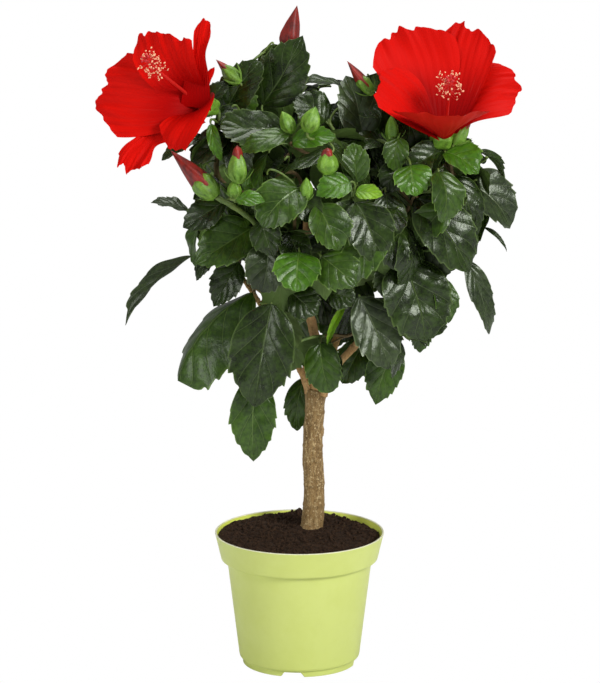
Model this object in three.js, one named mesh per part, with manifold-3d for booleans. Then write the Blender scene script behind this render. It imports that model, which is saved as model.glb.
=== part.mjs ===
// A hibiscus grown as a small standard in a nursery pot: one straight stem that forks under a leafy
// crown, with two open blooms and one tall bud. Millimetres, +Z up. The row frame has its origin
// below the middle of the whole plant, on the surface that the pot stands on.
//
// Inside the file every place is measured from the pot's own axis: X to the right, Y to the back,
// Z up from the surface. The last group moves the plant so that its box is centred on the origin.
import * as THREE from 'three';
import { mergeVertices } from 'three/addons/utils/BufferGeometryUtils.js';
import Module from 'manifold-3d';

const wasm = await Module();
wasm.setup();

// ---------------------------------------------------------------- driving sizes
const POT_AXIS_X = -9;
const POT_AXIS_Y = -6;
const GAP = 0.35;

const POT_HEIGHT = 119.5;
const POT_WALL = 1.5;
const RIM_RADIUS = 75;
const BAND_HEIGHT = 24;
const BAND_FOOT_RADIUS = 69.5;
const BODY_TOP_RADIUS = 64.3;
const BODY_FOOT_RADIUS = 53.7;
const FOOT_RING_RADIUS = 50.5;
const FOOT_RING_INNER = 46.5;
const FOOT_RING_HEIGHT = 5;
const FLOOR_RECESS = 3;
const POT_SIDES = 40;

const NOTCH_COUNT = 4;
const NOTCH_FIRST_ANGLE = -97;
const NOTCH_FOOT_WIDTH = 21;
const NOTCH_TOP_WIDTH = 15;
const NOTCH_HEIGHT = 4.2;

const SOIL_EDGE_LEVEL = 115;
const SOIL_MOUND = 4.4;
const SOIL_MOUND_REACH = 30;
const SOIL_PAD_RADIUS = 15;
const SOIL_SIDES = 24;

const TRUNK_FOOT = new THREE.Vector3(9.2, 18, SOIL_EDGE_LEVEL + SOIL_MOUND + GAP);
const TRUNK_FORK = new THREE.Vector3(13.6, 18, 246);
const TRUNK_FOOT_RADIUS = 9.6;
const TRUNK_TOP_RADIUS = 9.0;
const TRUNK_FLARE = 2.6;
const TRUNK_FLARE_REACH = 9;
const TRUNK_BOW = 1.2;
const TRUNK_SIDES = 14;
const TRUNK_RINGS = 11;
const BOUGH_SIDES = 7;
const BOUGH_STEPS = 6;

// ---------------------------------------------------------------- materials
const POT_LIME = new THREE.MeshStandardMaterial({ color: 0xd1da81, roughness: 0.45, metalness: 0 });
const SOIL_BROWN = new THREE.MeshStandardMaterial({ color: 0x302418, roughness: 0.95, metalness: 0 });
const BARK_TAN = new THREE.MeshStandardMaterial({ color: 0x8f6c48, roughness: 0.85, metalness: 0 });
const LEAF_GREEN = new THREE.MeshStandardMaterial({ color: 0x33471f, roughness: 0.4, metalness: 0 });
const BLOOM_RED = new THREE.MeshStandardMaterial({ color: 0xd81a10, roughness: 0.55, metalness: 0 });

// ---------------------------------------------------------------- solids
const rad = THREE.MathUtils.degToRad;
const at = (x, y, z) => new THREE.Vector3(x, y, z);

// A three.js geometry with closed faces becomes a manifold solid.
function toSolid(geometry) {
  const bare = geometry.index ? geometry.toNonIndexed() : geometry.clone();
  bare.deleteAttribute('normal');
  bare.deleteAttribute('uv');
  const welded = mergeVertices(bare, 1e-4);
  return new wasm.Manifold(new wasm.Mesh({
    numProp: 3,
    vertProperties: new Float32Array(welded.attributes.position.array),
    triVerts: new Uint32Array(welded.index.array),
  }));
}

// The largest connected piece of a solid, as a three.js geometry.
function toGeometry(solid) {
  const pieces = solid.decompose();
  pieces.sort((a, b) => b.volume() - a.volume());
  const mesh = pieces[0].getMesh();
  const geometry = new THREE.BufferGeometry();
  geometry.setAttribute('position', new THREE.BufferAttribute(mesh.vertProperties, 3));
  geometry.setIndex(new THREE.BufferAttribute(mesh.triVerts, 1));
  return geometry;
}

// A skin over rings of points, closed by a middle point at each end.
function skin(rings) {
  const sides = rings[0].length;
  const positions = [];
  const index = [];
  for (const ring of rings) {
    for (const p of ring) positions.push(p.x, p.y, p.z);
  }
  for (let r = 0; r + 1 < rings.length; r += 1) {
    for (let s = 0; s < sides; s += 1) {
      const a = r * sides + s;
      const b = r * sides + (s + 1) % sides;
      index.push(a, b, b + sides, a, b + sides, a + sides);
    }
  }
  const middle = (ring) => ring.reduce((sum, p) => sum.add(p), new THREE.Vector3()).divideScalar(sides);
  for (const [ring, start, flip] of [[rings[0], 0, true],
    [rings.at(-1), (rings.length - 1) * sides, false]]) {
    const m = middle(ring);
    const tip = positions.length / 3;
    positions.push(m.x, m.y, m.z);
    for (let s = 0; s < sides; s += 1) {
      const a = start + s;
      const b = start + (s + 1) % sides;
      if (flip) index.push(b, a, tip);
      else index.push(a, b, tip);
    }
  }
  const geometry = new THREE.BufferGeometry();
  geometry.setAttribute('position', new THREE.Float32BufferAttribute(positions, 3));
  geometry.setIndex(index);
  return geometry;
}

// A tapering limb along a smooth curve: its radius runs evenly from foot to tip.
function limb(points, footRadius, tipRadius, grow = 0) {
  const curve = new THREE.CatmullRomCurve3(points);
  const frames = curve.computeFrenetFrames(BOUGH_STEPS, false);
  const rings = [];
  for (let k = 0; k <= BOUGH_STEPS; k += 1) {
    const t = k / BOUGH_STEPS;
    const radius = THREE.MathUtils.lerp(footRadius, tipRadius, t) + grow;
    const middle = curve.getPointAt(t);
    rings.push(Array.from({ length: BOUGH_SIDES }, (_, s) => {
      const angle = (2 * Math.PI * s) / BOUGH_SIDES;
      return middle.clone()
        .addScaledVector(frames.normals[k], radius * Math.cos(angle))
        .addScaledVector(frames.binormals[k], radius * Math.sin(angle));
    }));
  }
  return toSolid(skin(rings));
}

// The stem: it leans a little to the right, bows slightly, flares at the soil and swells at the fork.
function stem(grow = 0) {
  const rings = [];
  for (let k = 0; k <= TRUNK_RINGS; k += 1) {
    const t = (k / TRUNK_RINGS) ** 1.25;
    const middle = TRUNK_FOOT.clone().lerp(TRUNK_FORK, t);
    middle.x += TRUNK_BOW * Math.sin(Math.PI * t * 2);
    const height = middle.z - TRUNK_FOOT.z;
    const flare = TRUNK_FLARE * Math.exp(-height / TRUNK_FLARE_REACH);
    const swell = 1.4 * Math.exp(-(((t - 0.96) / 0.07) ** 2));
    const radius = THREE.MathUtils.lerp(TRUNK_FOOT_RADIUS, TRUNK_TOP_RADIUS, t) + flare + swell + grow;
    rings.push(Array.from({ length: TRUNK_SIDES }, (_, s) => {
      const angle = (2 * Math.PI * s) / TRUNK_SIDES;
      const ridge = 1 + 0.035 * Math.sin(3 * angle + 2 * t) * (1 + flare);
      return at(middle.x + radius * ridge * Math.cos(angle), middle.y + radius * ridge * Math.sin(angle),
        middle.z);
    }));
  }
  return toSolid(skin(rings));
}

// An uneven mass: a ball drawn out to its own half sizes, swollen and pinched by slow waves, turned
// by `lean` degrees about X, Y and Z, and narrowed towards its lower end by `drop`.
function mass({ middle, half, lean = [0, 0, 0], wave = 0.1, seed = 0, drop = 0, detail = 2 }, grow = 0) {
  const geometry = new THREE.IcosahedronGeometry(1, detail);
  const turn = new THREE.Euler(rad(lean[0]), rad(lean[1]), rad(lean[2]));
  const position = geometry.attributes.position;
  const p = new THREE.Vector3();
  for (let i = 0; i < position.count; i += 1) {
    p.fromBufferAttribute(position, i);
    const swell = 1
      + wave * Math.sin(3.1 * p.x + 2.3 * p.z + seed)
      + 0.6 * wave * Math.sin(4.3 * p.y - 3.7 * p.z + 2 * seed)
      + 0.4 * wave * Math.sin(6.1 * p.x - 5.3 * p.y + 3 * seed);
    const narrow = 1 - drop * 0.5 * (1 - p.z);
    p.set(p.x * narrow * (half[0] * swell + grow), p.y * narrow * (half[1] * swell + grow),
      p.z * (half[2] * swell + grow));
    p.applyEuler(turn).add(middle);
    position.setXYZ(i, p.x, p.y, p.z);
  }
  return toSolid(geometry);
}

// A bloom: a funnel that opens from its calyx along `facing` into five broad lobes, with a low dome
// for the petals' inner side and the column.
function bloom({ calyx, facing, depth, reach, turn, squash = 1, seed = 0 }, grow = 0) {
  const axis = facing.clone().normalize();
  const side = new THREE.Vector3().crossVectors(at(0, 0, 1), axis).normalize();
  const up = new THREE.Vector3().crossVectors(axis, side);
  const sides = 20;
  const profile = [[0.09, -0.02], [0.16, 0.12], [0.42, 0.34], [0.8, 0.62], [1, 0.86], [0.92, 1.0],
    [0.5, 1.04], [0.16, 1.06]];
  const rings = profile.map(([wide, high]) => Array.from({ length: sides }, (_, s) => {
    const angle = (2 * Math.PI * s) / sides;
    const lobe = 1 + (0.12 * Math.cos(5 * (angle - rad(turn))) + 0.07 * Math.sin(2 * angle + seed)) * wide;
    const radius = reach * wide * lobe + grow;
    const along = depth * high + (high > 0.9 ? grow : -grow);
    return calyx.clone()
      .addScaledVector(axis, along + 5 * wide * Math.sin(2 * angle + 2 * seed))
      .addScaledVector(side, radius * Math.cos(angle))
      .addScaledVector(up, radius * squash * Math.sin(angle));
  }));
  return toSolid(skin(rings));
}

// ---------------------------------------------------------------- pot and soil
function potSolid() {
  const band = POT_HEIGHT - BAND_HEIGHT;
  const profile = [
    [0, FLOOR_RECESS],
    [FOOT_RING_INNER, FLOOR_RECESS],
    [FOOT_RING_INNER + 1, 0],
    [FOOT_RING_RADIUS, 0],
    [FOOT_RING_RADIUS, FOOT_RING_HEIGHT],
    [BODY_FOOT_RADIUS - 1.2, FOOT_RING_HEIGHT + 0.4],
    [BODY_FOOT_RADIUS, FOOT_RING_HEIGHT + 2.5],
    [BODY_TOP_RADIUS, band],
    [BAND_FOOT_RADIUS, band],
    [RIM_RADIUS, POT_HEIGHT],
    [RIM_RADIUS - POT_WALL, POT_HEIGHT],
    [BAND_FOOT_RADIUS - POT_WALL, band + POT_WALL],
    [BODY_TOP_RADIUS - POT_WALL, band],
    [BODY_FOOT_RADIUS - POT_WALL, FOOT_RING_HEIGHT + 3],
    [BODY_FOOT_RADIUS - 2 * POT_WALL, FLOOR_RECESS + 2],
    [0, FLOOR_RECESS + 2],
  ].map(([r, z]) => new THREE.Vector2(r, z));
  const shell = new THREE.LatheGeometry(profile, POT_SIDES).rotateX(Math.PI / 2);
  let pot = toSolid(shell);
  for (let k = 0; k < NOTCH_COUNT; k += 1) {
    const outline = new THREE.Shape();
    outline.moveTo(-NOTCH_FOOT_WIDTH / 2 - 0.5, -1);
    outline.lineTo(NOTCH_FOOT_WIDTH / 2 + 0.5, -1);
    outline.lineTo(NOTCH_TOP_WIDTH / 2, NOTCH_HEIGHT);
    outline.lineTo(-NOTCH_TOP_WIDTH / 2, NOTCH_HEIGHT);
    const cutter = new THREE.ExtrudeGeometry(outline, { depth: 9, bevelEnabled: false });
    cutter.rotateX(Math.PI / 2).rotateZ(Math.PI / 2);
    cutter.translate(FOOT_RING_INNER - 4, 0, 0);
    cutter.rotateZ(rad(NOTCH_FIRST_ANGLE + (360 / NOTCH_COUNT) * k));
    pot = pot.subtract(toSolid(cutter));
  }
  return pot;
}

// Height of the soil at a place: a low mound round the stem, flat right under it, and a little
// higher on the left.
function soilLevel(x, y) {
  const away = Math.max(0, Math.hypot(x - TRUNK_FOOT.x, y - TRUNK_FOOT.y) - SOIL_PAD_RADIUS);
  const lumps = 1.1 * Math.sin(x / 13 + 1) * Math.cos(y / 11) - 0.02 * x;
  const mound = SOIL_MOUND * Math.exp(-((away / SOIL_MOUND_REACH) ** 2));
  return SOIL_EDGE_LEVEL + mound + lumps * (1 - Math.exp(-((away / 14) ** 2)));
}

function soilSolid() {
  const wallAt = (z) => {
    const band = POT_HEIGHT - BAND_HEIGHT;
    if (z > band + POT_WALL) {
      const t = (z - band) / BAND_HEIGHT;
      return THREE.MathUtils.lerp(BAND_FOOT_RADIUS, RIM_RADIUS, t) - POT_WALL;
    }
    const t = Math.max(0, (z - FOOT_RING_HEIGHT - 3) / (band - FOOT_RING_HEIGHT - 3));
    return THREE.MathUtils.lerp(BODY_FOOT_RADIUS, BODY_TOP_RADIUS, t) - POT_WALL;
  };
  const ringAt = (radius, height) => Array.from({ length: SOIL_SIDES }, (_, s) => {
    const angle = (2 * Math.PI * s) / SOIL_SIDES;
    return at(radius * Math.cos(angle), radius * Math.sin(angle), height);
  });
  const band = POT_HEIGHT - BAND_HEIGHT;
  const loose = 0.6;
  const rings = [
    ringAt(wallAt(0) - 3, FLOOR_RECESS + 2 + GAP),
    ringAt(wallAt(0) - loose, FOOT_RING_HEIGHT + 4),
    ringAt(wallAt(band) - loose, band - 1),
    ringAt(wallAt(band) - loose, band + 2),
    ringAt(wallAt(band + 4) - loose - 0.6, band + 5),
  ];
  const shape = [1, 0.88, 0.7, 0.52, 0.36, 0.2];
  const edge = wallAt(SOIL_EDGE_LEVEL - 3) - loose - 0.6;
  for (const t of shape) {
    rings.push(ringAt(edge * t, 0).map((p) => {
      const x = p.x + TRUNK_FOOT.x * (1 - t);
      const y = p.y + TRUNK_FOOT.y * (1 - t);
      const level = t === 1 ? SOIL_EDGE_LEVEL - 1.5 : soilLevel(x, y);
      return at(x, y, level);
    }));
  }
  return toSolid(skin(rings));
}

// ---------------------------------------------------------------- the crown
// Each mass: its middle, its half sizes (right, back, up) and how it leans. Earlier ones keep their
// whole shape, and later ones are cut back round them.
const MASSES = {
  leaf_far_left: { middle: at(-124, -12, 345), half: [41, 8, 7], lean: [8, -47, 4] },
  leaf_left_small: { middle: at(-113, 8, 409), half: [19, 9, 5], lean: [0, 14, 0], detail: 1 },
  leaf_left_hanging: { middle: at(-79, -12, 344), half: [9, 7, 25], lean: [0, -16, 0], drop: 0.3 },
  leaf_low_left: { middle: at(-68, -25, 296), half: [54, 9, 19], lean: [6, -46, 6] },
  leaf_low_front: { middle: at(-41, -52, 234), half: [23, 6, 36], lean: [4, -3, 0], drop: 0.35 },
  leaf_behind_trunk: { middle: at(-2, 44, 225), half: [9, 6, 24], lean: [0, -4, 0], detail: 1 },
  leaf_far_right: { middle: at(152, -2, 334), half: [13, 8, 37], lean: [0, -32, 0] },
  leaf_rolled_right: { middle: at(170, 2, 383), half: [19, 4, 4], lean: [0, 48, 0], detail: 1 },
  leaf_right_tip: { middle: at(172, -4, 425), half: [14, 14, 31], lean: [0, -12, 0] },
  leaf_back_hanging: { middle: at(8, 118, 300), half: [24, 7, 42], lean: [-14, 8, 0], drop: 0.4 },
  bud_top: { middle: at(-7, 15, 568), half: [9, 9, 22], lean: [0, 14, 0], drop: -0.25, detail: 1 },
  bud_left: { middle: at(-91, -44, 452), half: [26, 8, 9], lean: [0, 44, 0], detail: 1 },
  bud_upper_left: { middle: at(-62, -10, 535), half: [15, 9, 9], lean: [0, 34, 0], detail: 1 },
  bud_upper_right: { middle: at(45, -6, 529), half: [9, 8, 16], lean: [0, -30, 0], detail: 1 },
  foliage_front_low: { middle: at(-28, -58, 297), half: [32, 11, 46], lean: [4, 6, 0], seed: 1 },
  foliage_fork: { middle: at(27, -24, 278), half: [35, 14, 25], lean: [8, 0, 0], seed: 2 },
  foliage_low_right: { middle: at(72, -32, 297), half: [22, 13, 48], lean: [4, 2, 0], seed: 3 },
  foliage_right_low: { middle: at(105, -36, 332), half: [31, 15, 40], lean: [4, 6, 0], seed: 4 },
  foliage_left: { middle: at(-57, -8, 383), half: [37, 32, 34], lean: [0, 10, 0], wave: 0.12, seed: 5 },
  foliage_top: { middle: at(-27, 14, 519), half: [27, 17, 46], lean: [0, 27, 0], seed: 6 },
  foliage_left_top: { middle: at(-52, -14, 464), half: [42, 36, 52], lean: [0, 8, 0], wave: 0.12, seed: 7 },
  foliage_right_top: { middle: at(70, 0, 488), half: [43, 28, 44], lean: [0, 0, 0], wave: 0.12, seed: 8 },
  foliage_right: { middle: at(127, -14, 424), half: [44, 40, 58], lean: [0, 4, 0], wave: 0.12, seed: 9 },
  foliage_centre: { middle: at(12, -56, 446), half: [46, 36, 52], seed: 10 },
  foliage_middle: { middle: at(4, -64, 368), half: [50, 30, 38], lean: [0, 4, 0], seed: 11 },
  foliage_centre_right: { middle: at(68, -58, 396), half: [38, 32, 56], lean: [0, -6, 0], seed: 12 },
  foliage_back_left: { middle: at(-44, 76, 408), half: [46, 48, 66], lean: [10, 8, 0], wave: 0.14, seed: 13 },
  foliage_back_right: { middle: at(86, 78, 402), half: [53, 48, 68], lean: [10, -8, 0], wave: 0.14, seed: 14 },
  foliage_back_top: { middle: at(22, 62, 470), half: [48, 46, 42], wave: 0.12, seed: 15 },
  foliage_back_low: { middle: at(26, 102, 352), half: [46, 36, 56], lean: [-6, 0, 0], wave: 0.12, seed: 16 },
};

const BLOOMS = {
  bloom_left: {
    calyx: at(-84, -30, 510), facing: at(-0.7, -0.68, 0.24), depth: 55, reach: 69, turn: 60, seed: 1,
  },
  bloom_right: {
    calyx: at(124, -28, 486), facing: at(-0.04, -0.52, 0.85), depth: 70, reach: 66, turn: -20, squash: 0.9,
    seed: 2.4,
  },
};

// Boughs leave the fork and each ends inside the mass that it carries.
const BOUGHS = {
  bough_left: { points: [at(9, 16, 243), at(-3, 12, 272), at(-30, 4, 318), at(-52, -2, 352)], foot: 3.1, tip: 2 },
  bough_centre: {
    points: [at(16, 16, 246), at(16, 8, 290), at(9, 0, 326), at(5, -10, 366), at(6, -22, 408)],
    foot: 4.8,
    tip: 3,
  },
  bough_right: {
    points: [at(21, 14, 243), at(33, 8, 268), at(54, 2, 295), at(78, -2, 335), at(96, -6, 376)],
    foot: 3.7,
    tip: 2.5,
  },
  bough_back_left: { points: [at(10, 22, 245), at(0, 36, 292), at(-18, 50, 336), at(-36, 62, 392)], foot: 4, tip: 2.6 },
  bough_back_right: { points: [at(19, 23, 245), at(34, 40, 290), at(56, 54, 332), at(76, 66, 386)], foot: 4, tip: 2.6 },
};

const solids = { pot: [potSolid(), POT_LIME], soil: [soilSolid(), SOIL_BROWN], trunk: [stem(), BARK_TAN] };

let taken = stem(GAP);
for (const [name, spec] of Object.entries(BLOOMS)) {
  solids[name] = [bloom(spec).subtract(taken), BLOOM_RED];
  taken = taken.add(bloom(spec, GAP));
}
for (const [name, spec] of Object.entries(MASSES)) {
  solids[name] = [mass(spec).subtract(taken), LEAF_GREEN];
  taken = taken.add(mass(spec, GAP));
}
for (const [name, { points, foot, tip }] of Object.entries(BOUGHS)) {
  solids[name] = [limb(points, foot, tip).subtract(taken), BARK_TAN];
  taken = taken.add(limb(points, foot, tip, GAP));
}

const plant = new THREE.Group();
plant.position.set(POT_AXIS_X, POT_AXIS_Y, 0);
for (const [name, [solid, material]] of Object.entries(solids)) {
  const mesh = new THREE.Mesh(toGeometry(solid), material);
  mesh.name = name;
  plant.add(mesh);
}

const group = new THREE.Group();
group.add(plant);
export default group;
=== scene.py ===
# %% [markdown]
# # A potted hibiscus, leaf by leaf
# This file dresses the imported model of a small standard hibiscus. The model gives the frame: the
# pot, the soil, one straight stem with five boughs, plain solids for the masses of foliage, the buds
# and two open blooms. Here each of them gets its real surface. Lengths are worked out in millimetres
# from the pot's own axis (X right, Y back, Z up) and turned into the frame's metres in one place.

import math

import bmesh
import bpy
import numpy as np
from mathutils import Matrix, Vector
from mathutils.bvhtree import BVHTree


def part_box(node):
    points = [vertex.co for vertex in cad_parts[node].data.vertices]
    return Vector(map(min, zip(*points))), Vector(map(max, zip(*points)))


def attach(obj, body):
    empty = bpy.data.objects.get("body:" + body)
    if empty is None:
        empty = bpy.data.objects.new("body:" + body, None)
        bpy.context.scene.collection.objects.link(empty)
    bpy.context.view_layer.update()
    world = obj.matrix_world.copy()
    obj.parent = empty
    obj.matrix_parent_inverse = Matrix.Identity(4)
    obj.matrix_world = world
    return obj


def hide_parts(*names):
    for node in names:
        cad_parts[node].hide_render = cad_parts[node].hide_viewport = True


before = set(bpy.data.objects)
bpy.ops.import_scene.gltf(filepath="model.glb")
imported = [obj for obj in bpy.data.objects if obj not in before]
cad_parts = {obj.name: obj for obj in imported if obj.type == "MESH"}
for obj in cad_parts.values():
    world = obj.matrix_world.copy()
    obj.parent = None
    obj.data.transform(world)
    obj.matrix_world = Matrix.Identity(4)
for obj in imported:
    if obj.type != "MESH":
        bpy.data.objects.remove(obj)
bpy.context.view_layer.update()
MM = 0.001
NODES = list(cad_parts)
pot_low, pot_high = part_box("pot")
POT_AXIS = np.array([(pot_low[0] + pot_high[0]) / 2, (pot_low[1] + pot_high[1]) / 2, 0.0])
POT_HEIGHT = (pot_high[2] - pot_low[2]) / MM
RIM_RADIUS = (pot_high[0] - pot_low[0]) / MM / 2
print("frame:", len(NODES), "nodes; pot", round(POT_HEIGHT, 1), "mm tall, rim radius", round(RIM_RADIUS, 1))

# %% [markdown]
# ## Seed, vectors and noise
# Nothing here may change from run to run, so every random draw comes from one seeded generator.
# Uneven surfaces need a smooth noise: random values on a lattice of unit cubes, blended with an
# S-shaped weight. It is worked out for a whole array of points at once.

# %% Small helpers for vectors, noise and places
SEED = 41
LATTICE_FACTORS = (374761393, 668265263, 2147483647, 1274126177)  # odd factors for i, j, k and the seed
LATTICE_SCRAMBLE = 1103515245
BITS_32, BITS_16 = 0xFFFFFFFF, 0xFFFF
draw = np.random.default_rng(SEED)


def unit(v):
    """Each row of v divided by its own length."""
    v = np.asarray(v, float)
    return v / np.maximum(np.linalg.norm(v, axis=-1, keepdims=True), 1e-9)


def square_to(v, along):
    """The part of v that is square to the unit vectors `along`, made one long."""
    return unit(v - np.sum(v * along, -1, keepdims=True) * along)


def circle(count):
    """Evenly spaced angles once round, without the last."""
    return np.linspace(0, 2 * math.pi, count, endpoint=False)


def spokes(way, turn, aside):
    """Unit vectors square to `way`, at the angles `turn` from a first one set by `aside`."""
    side = unit(np.cross(way, aside))
    return np.cos(turn)[:, None] * side + np.sin(turn)[:, None] * np.cross(way, side)


def lattice_value(i, j, k, seed):
    """A random-looking value from -1 to 1 for each whole-number lattice point."""
    mixed = sum(n * factor for n, factor in zip((i, j, k, seed), LATTICE_FACTORS)) & BITS_32
    mixed = ((mixed ^ (mixed >> 13)) * LATTICE_SCRAMBLE) & BITS_32
    mixed = mixed ^ (mixed >> 16)
    return (mixed & BITS_16) / (BITS_16 / 2) - 1.0


def noise(points, size, seed=0):
    """Smooth noise of about -1 to 1 whose bumps are `size` wide (one number, or one for each axis).

    Each point is placed in its lattice cube; the eight corner values are blended by
    3 f^2 - 2 f^3 along each axis, where f is how far the point lies across the cube.
    """
    scaled = np.asarray(points, float) / np.asarray(size, float)
    cell = np.floor(scaled).astype(np.int64)
    f = scaled - cell
    f = f * f * (3 - 2 * f)
    total = np.zeros(scaled.shape[:-1])
    for corner in np.ndindex(2, 2, 2):
        weight = np.ones(total.shape)
        for axis in range(3):
            weight = weight * (f[..., axis] if corner[axis] else 1 - f[..., axis])
        i, j, k = (cell[..., axis] + corner[axis] for axis in range(3))
        total += weight * lattice_value(i, j, k, seed)
    return total


def srgb(r, g, b):
    """A screen colour (0 to 255) as linear light."""
    c = np.array([r, g, b]) / 255
    c = np.where(c <= 0.04045, c / 12.92, ((c + 0.055) / 1.055) ** 2.4)
    return tuple(c.tolist()) + (1.0,)


def to_frame(points):
    """Millimetres from the pot's axis become metres in the frame."""
    return np.asarray(points, float) * MM + POT_AXIS


def from_frame(points):
    """Metres in the frame become millimetres from the pot's axis."""
    return (np.asarray(points, float) - POT_AXIS) / MM


# %% [markdown]
# ## From arrays to pieces
# Every surface below is a grid: rows of points, joined to the next row by four-sided faces. A
# piece is one or many grids put into one mesh. Its object stays at the origin, because its place is
# already in its points, and it rides on the model's one body.

# %% Grids and pieces
def grid_faces(rows, columns, around=False):
    """Quads between neighbouring rows and columns; `around` also joins the last column to the first."""
    r = np.arange(rows - 1)[:, None]
    c = np.arange(columns if around else columns - 1)[None, :]
    here = r * columns + c
    beside = r * columns + (c + 1) % columns
    return np.stack([here, beside, beside + columns, here + columns], -1).reshape(-1, 4)


def many(grids, around=False):
    """Points and faces of several grids of one shape: grids is an array (count, rows, columns, 3)."""
    grids = np.asarray(grids, float)
    count, rows, columns = grids.shape[:3]
    one = grid_faces(rows, columns, around)
    steps = (np.arange(count) * rows * columns)[:, None, None]
    return grids.reshape(-1, 3), (one[None] + steps).reshape(-1, 4)


def gather(parts):
    """Joins a list of (points, faces) into one pair."""
    points, faces, start = [], [], 0
    for p, f in parts:
        points.append(p)
        faces.append(f + start)
        start += len(p)
    return np.concatenate(points), np.concatenate(faces)


def add_object(name, data):
    """A new object for the data, in the scene."""
    made = bpy.data.objects.new(name, data)
    bpy.context.scene.collection.objects.link(made)
    return made


def piece(name, points, faces, material, slot, stands_for=(), weld=True, maps=None):
    """Makes the mesh object, closes its poles and seams, and hands it to the frame.

    maps is {UV map name: one (u, v) for each point}. Points are in millimetres from the pot's axis.
    """
    mesh = bpy.data.meshes.new(name)
    mesh.from_pydata(to_frame(points).tolist(), [], np.asarray(faces).tolist())
    for map_name, uv in (maps or {}).items():
        layer = mesh.uv_layers.new(name=map_name)
        corner_points = np.empty(len(mesh.loops), np.int32)
        mesh.loops.foreach_get("vertex_index", corner_points)
        layer.data.foreach_set("uv", np.asarray(uv, np.float32)[corner_points].ravel())
    if weld:
        work = bmesh.new()
        work.from_mesh(mesh)
        bmesh.ops.remove_doubles(work, verts=work.verts, dist=2e-6)
        bmesh.ops.dissolve_degenerate(work, dist=1e-7, edges=work.edges)
        work.to_mesh(mesh)
        work.free()
    mesh.polygons.foreach_set("use_smooth", np.ones(len(mesh.polygons), bool))
    mesh.materials.append(material)
    mesh.update()
    thing = add_object(name, mesh)
    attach(thing, "root")
    if stands_for:
        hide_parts(*stands_for)
    triangles = sum(len(p.vertices) - 2 for p in mesh.polygons)
    print(f"{name}: {len(mesh.vertices)} points, {triangles} triangles")
    return thing


# %% [markdown]
# ## Building materials
# A Principled shader stays in each material. Patterns are small node groups with named sockets that
# put out masks or colours. The helpers below keep the wiring short: `node` adds a node and plugs
# values or links into its inputs.

# %% Helpers for shader nodes
def node(tree, kind, inputs=None, **settings):
    """Adds a node, sets its properties, and fills its inputs by name or number with values or links."""
    made = tree.nodes.new(kind)
    for key, value in settings.items():
        setattr(made, key, value)
    for key, value in (inputs or {}).items():
        if isinstance(value, bpy.types.NodeSocket):
            tree.links.new(value, made.inputs[key])
        else:
            made.inputs[key].default_value = value
    return made


def maths(tree, operation, a, b=None, c=None, clamp=False):
    """One Math node; returns its value."""
    inputs = {i: v for i, v in enumerate((a, b, c)) if v is not None}
    return node(tree, "ShaderNodeMath", inputs, operation=operation, use_clamp=clamp).outputs[0]


def vector_maths(tree, operation, *values):
    """One Vector Math node; returns its vector, or its number for a dot product."""
    made = node(tree, "ShaderNodeVectorMath", dict(enumerate(values)), operation=operation)
    return made.outputs["Value" if operation == "DOT_PRODUCT" else 0]


def smooth(tree, value, low, high, to_low=0.0, to_high=1.0):
    """Map Range with smooth ends: value from low..high becomes to_low..to_high."""
    made = node(tree, "ShaderNodeMapRange",
                {"Value": value, "From Min": low, "From Max": high, "To Min": to_low, "To Max": to_high},
                interpolation_type="SMOOTHSTEP")
    return made.outputs["Result"]


def blend(tree, factor, a, b):
    """Mixes two colours: a where the factor is 0, b where it is 1."""
    return node(tree, "ShaderNodeMix", {0: factor, 6: a, 7: b}, data_type="RGBA").outputs[2]


def separate(tree, vector):
    """The three numbers of a vector, as outputs."""
    return node(tree, "ShaderNodeSeparateXYZ", {0: vector}).outputs


def group(name, vector_in, numbers_in, numbers_out):
    """An empty node group: one vector and {name: default} numbers in, named numbers out."""
    made = bpy.data.node_groups.new(name, "ShaderNodeTree")
    made.interface.new_socket(vector_in, in_out="INPUT", socket_type="NodeSocketVector")
    for number, default in numbers_in.items():
        socket = made.interface.new_socket(number, in_out="INPUT", socket_type="NodeSocketFloat")
        socket.default_value = default
    for number in numbers_out:
        made.interface.new_socket(number, in_out="OUTPUT", socket_type="NodeSocketFloat")
    return made, made.nodes.new("NodeGroupInput").outputs, made.nodes.new("NodeGroupOutput").inputs


def material(name, color, roughness, **values):
    """A Principled material; values are set on the shader's own sockets, with _ for a space."""
    made = bpy.data.materials.new(name)
    made.use_nodes = True
    shader = made.node_tree.nodes["Principled BSDF"]
    shader.inputs["Base Color"].default_value = (*color, 1)
    shader.inputs["Roughness"].default_value = roughness
    for key, value in values.items():
        shader.inputs[key.replace("_", " ")].default_value = value
    return made, made.node_tree, shader


def coat(tree, shader, color, roughness=None, bump=None):
    """Plugs in a colour and, if given, a roughness and a bump (strength, distance in metres, height)."""
    tree.links.new(color, shader.inputs["Base Color"])
    if roughness:
        tree.links.new(roughness, shader.inputs["Roughness"])
    if bump:
        made = node(tree, "ShaderNodeBump", dict(zip(("Strength", "Distance", "Height"), bump)))
        tree.links.new(made.outputs[0], shader.inputs["Normal"])


# %% [markdown]
# ## Camera, floor and light
# A long lens far away keeps the pot's sides nearly parallel. The camera looks down a little, so the
# soil shows as a flat oval. The floor looks plain white to the camera, as a paper sweep does; three
# soft lights and a pale sky give the gentle studio light that lets glossy leaves shine grey.

# %% Camera and floor
CAMERA_DISTANCE = 3500
CAMERA_ELEVATION = math.radians(12.83)
CAMERA_AIM = np.array([0.5, 0.0, 292.4])
CAMERA_LENS = 210.0
VIEW_BACK = np.array([0.0, -math.cos(CAMERA_ELEVATION), math.sin(CAMERA_ELEVATION)])
VIEW_UP = np.array([0.0, math.sin(CAMERA_ELEVATION), math.cos(CAMERA_ELEVATION)])

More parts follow.
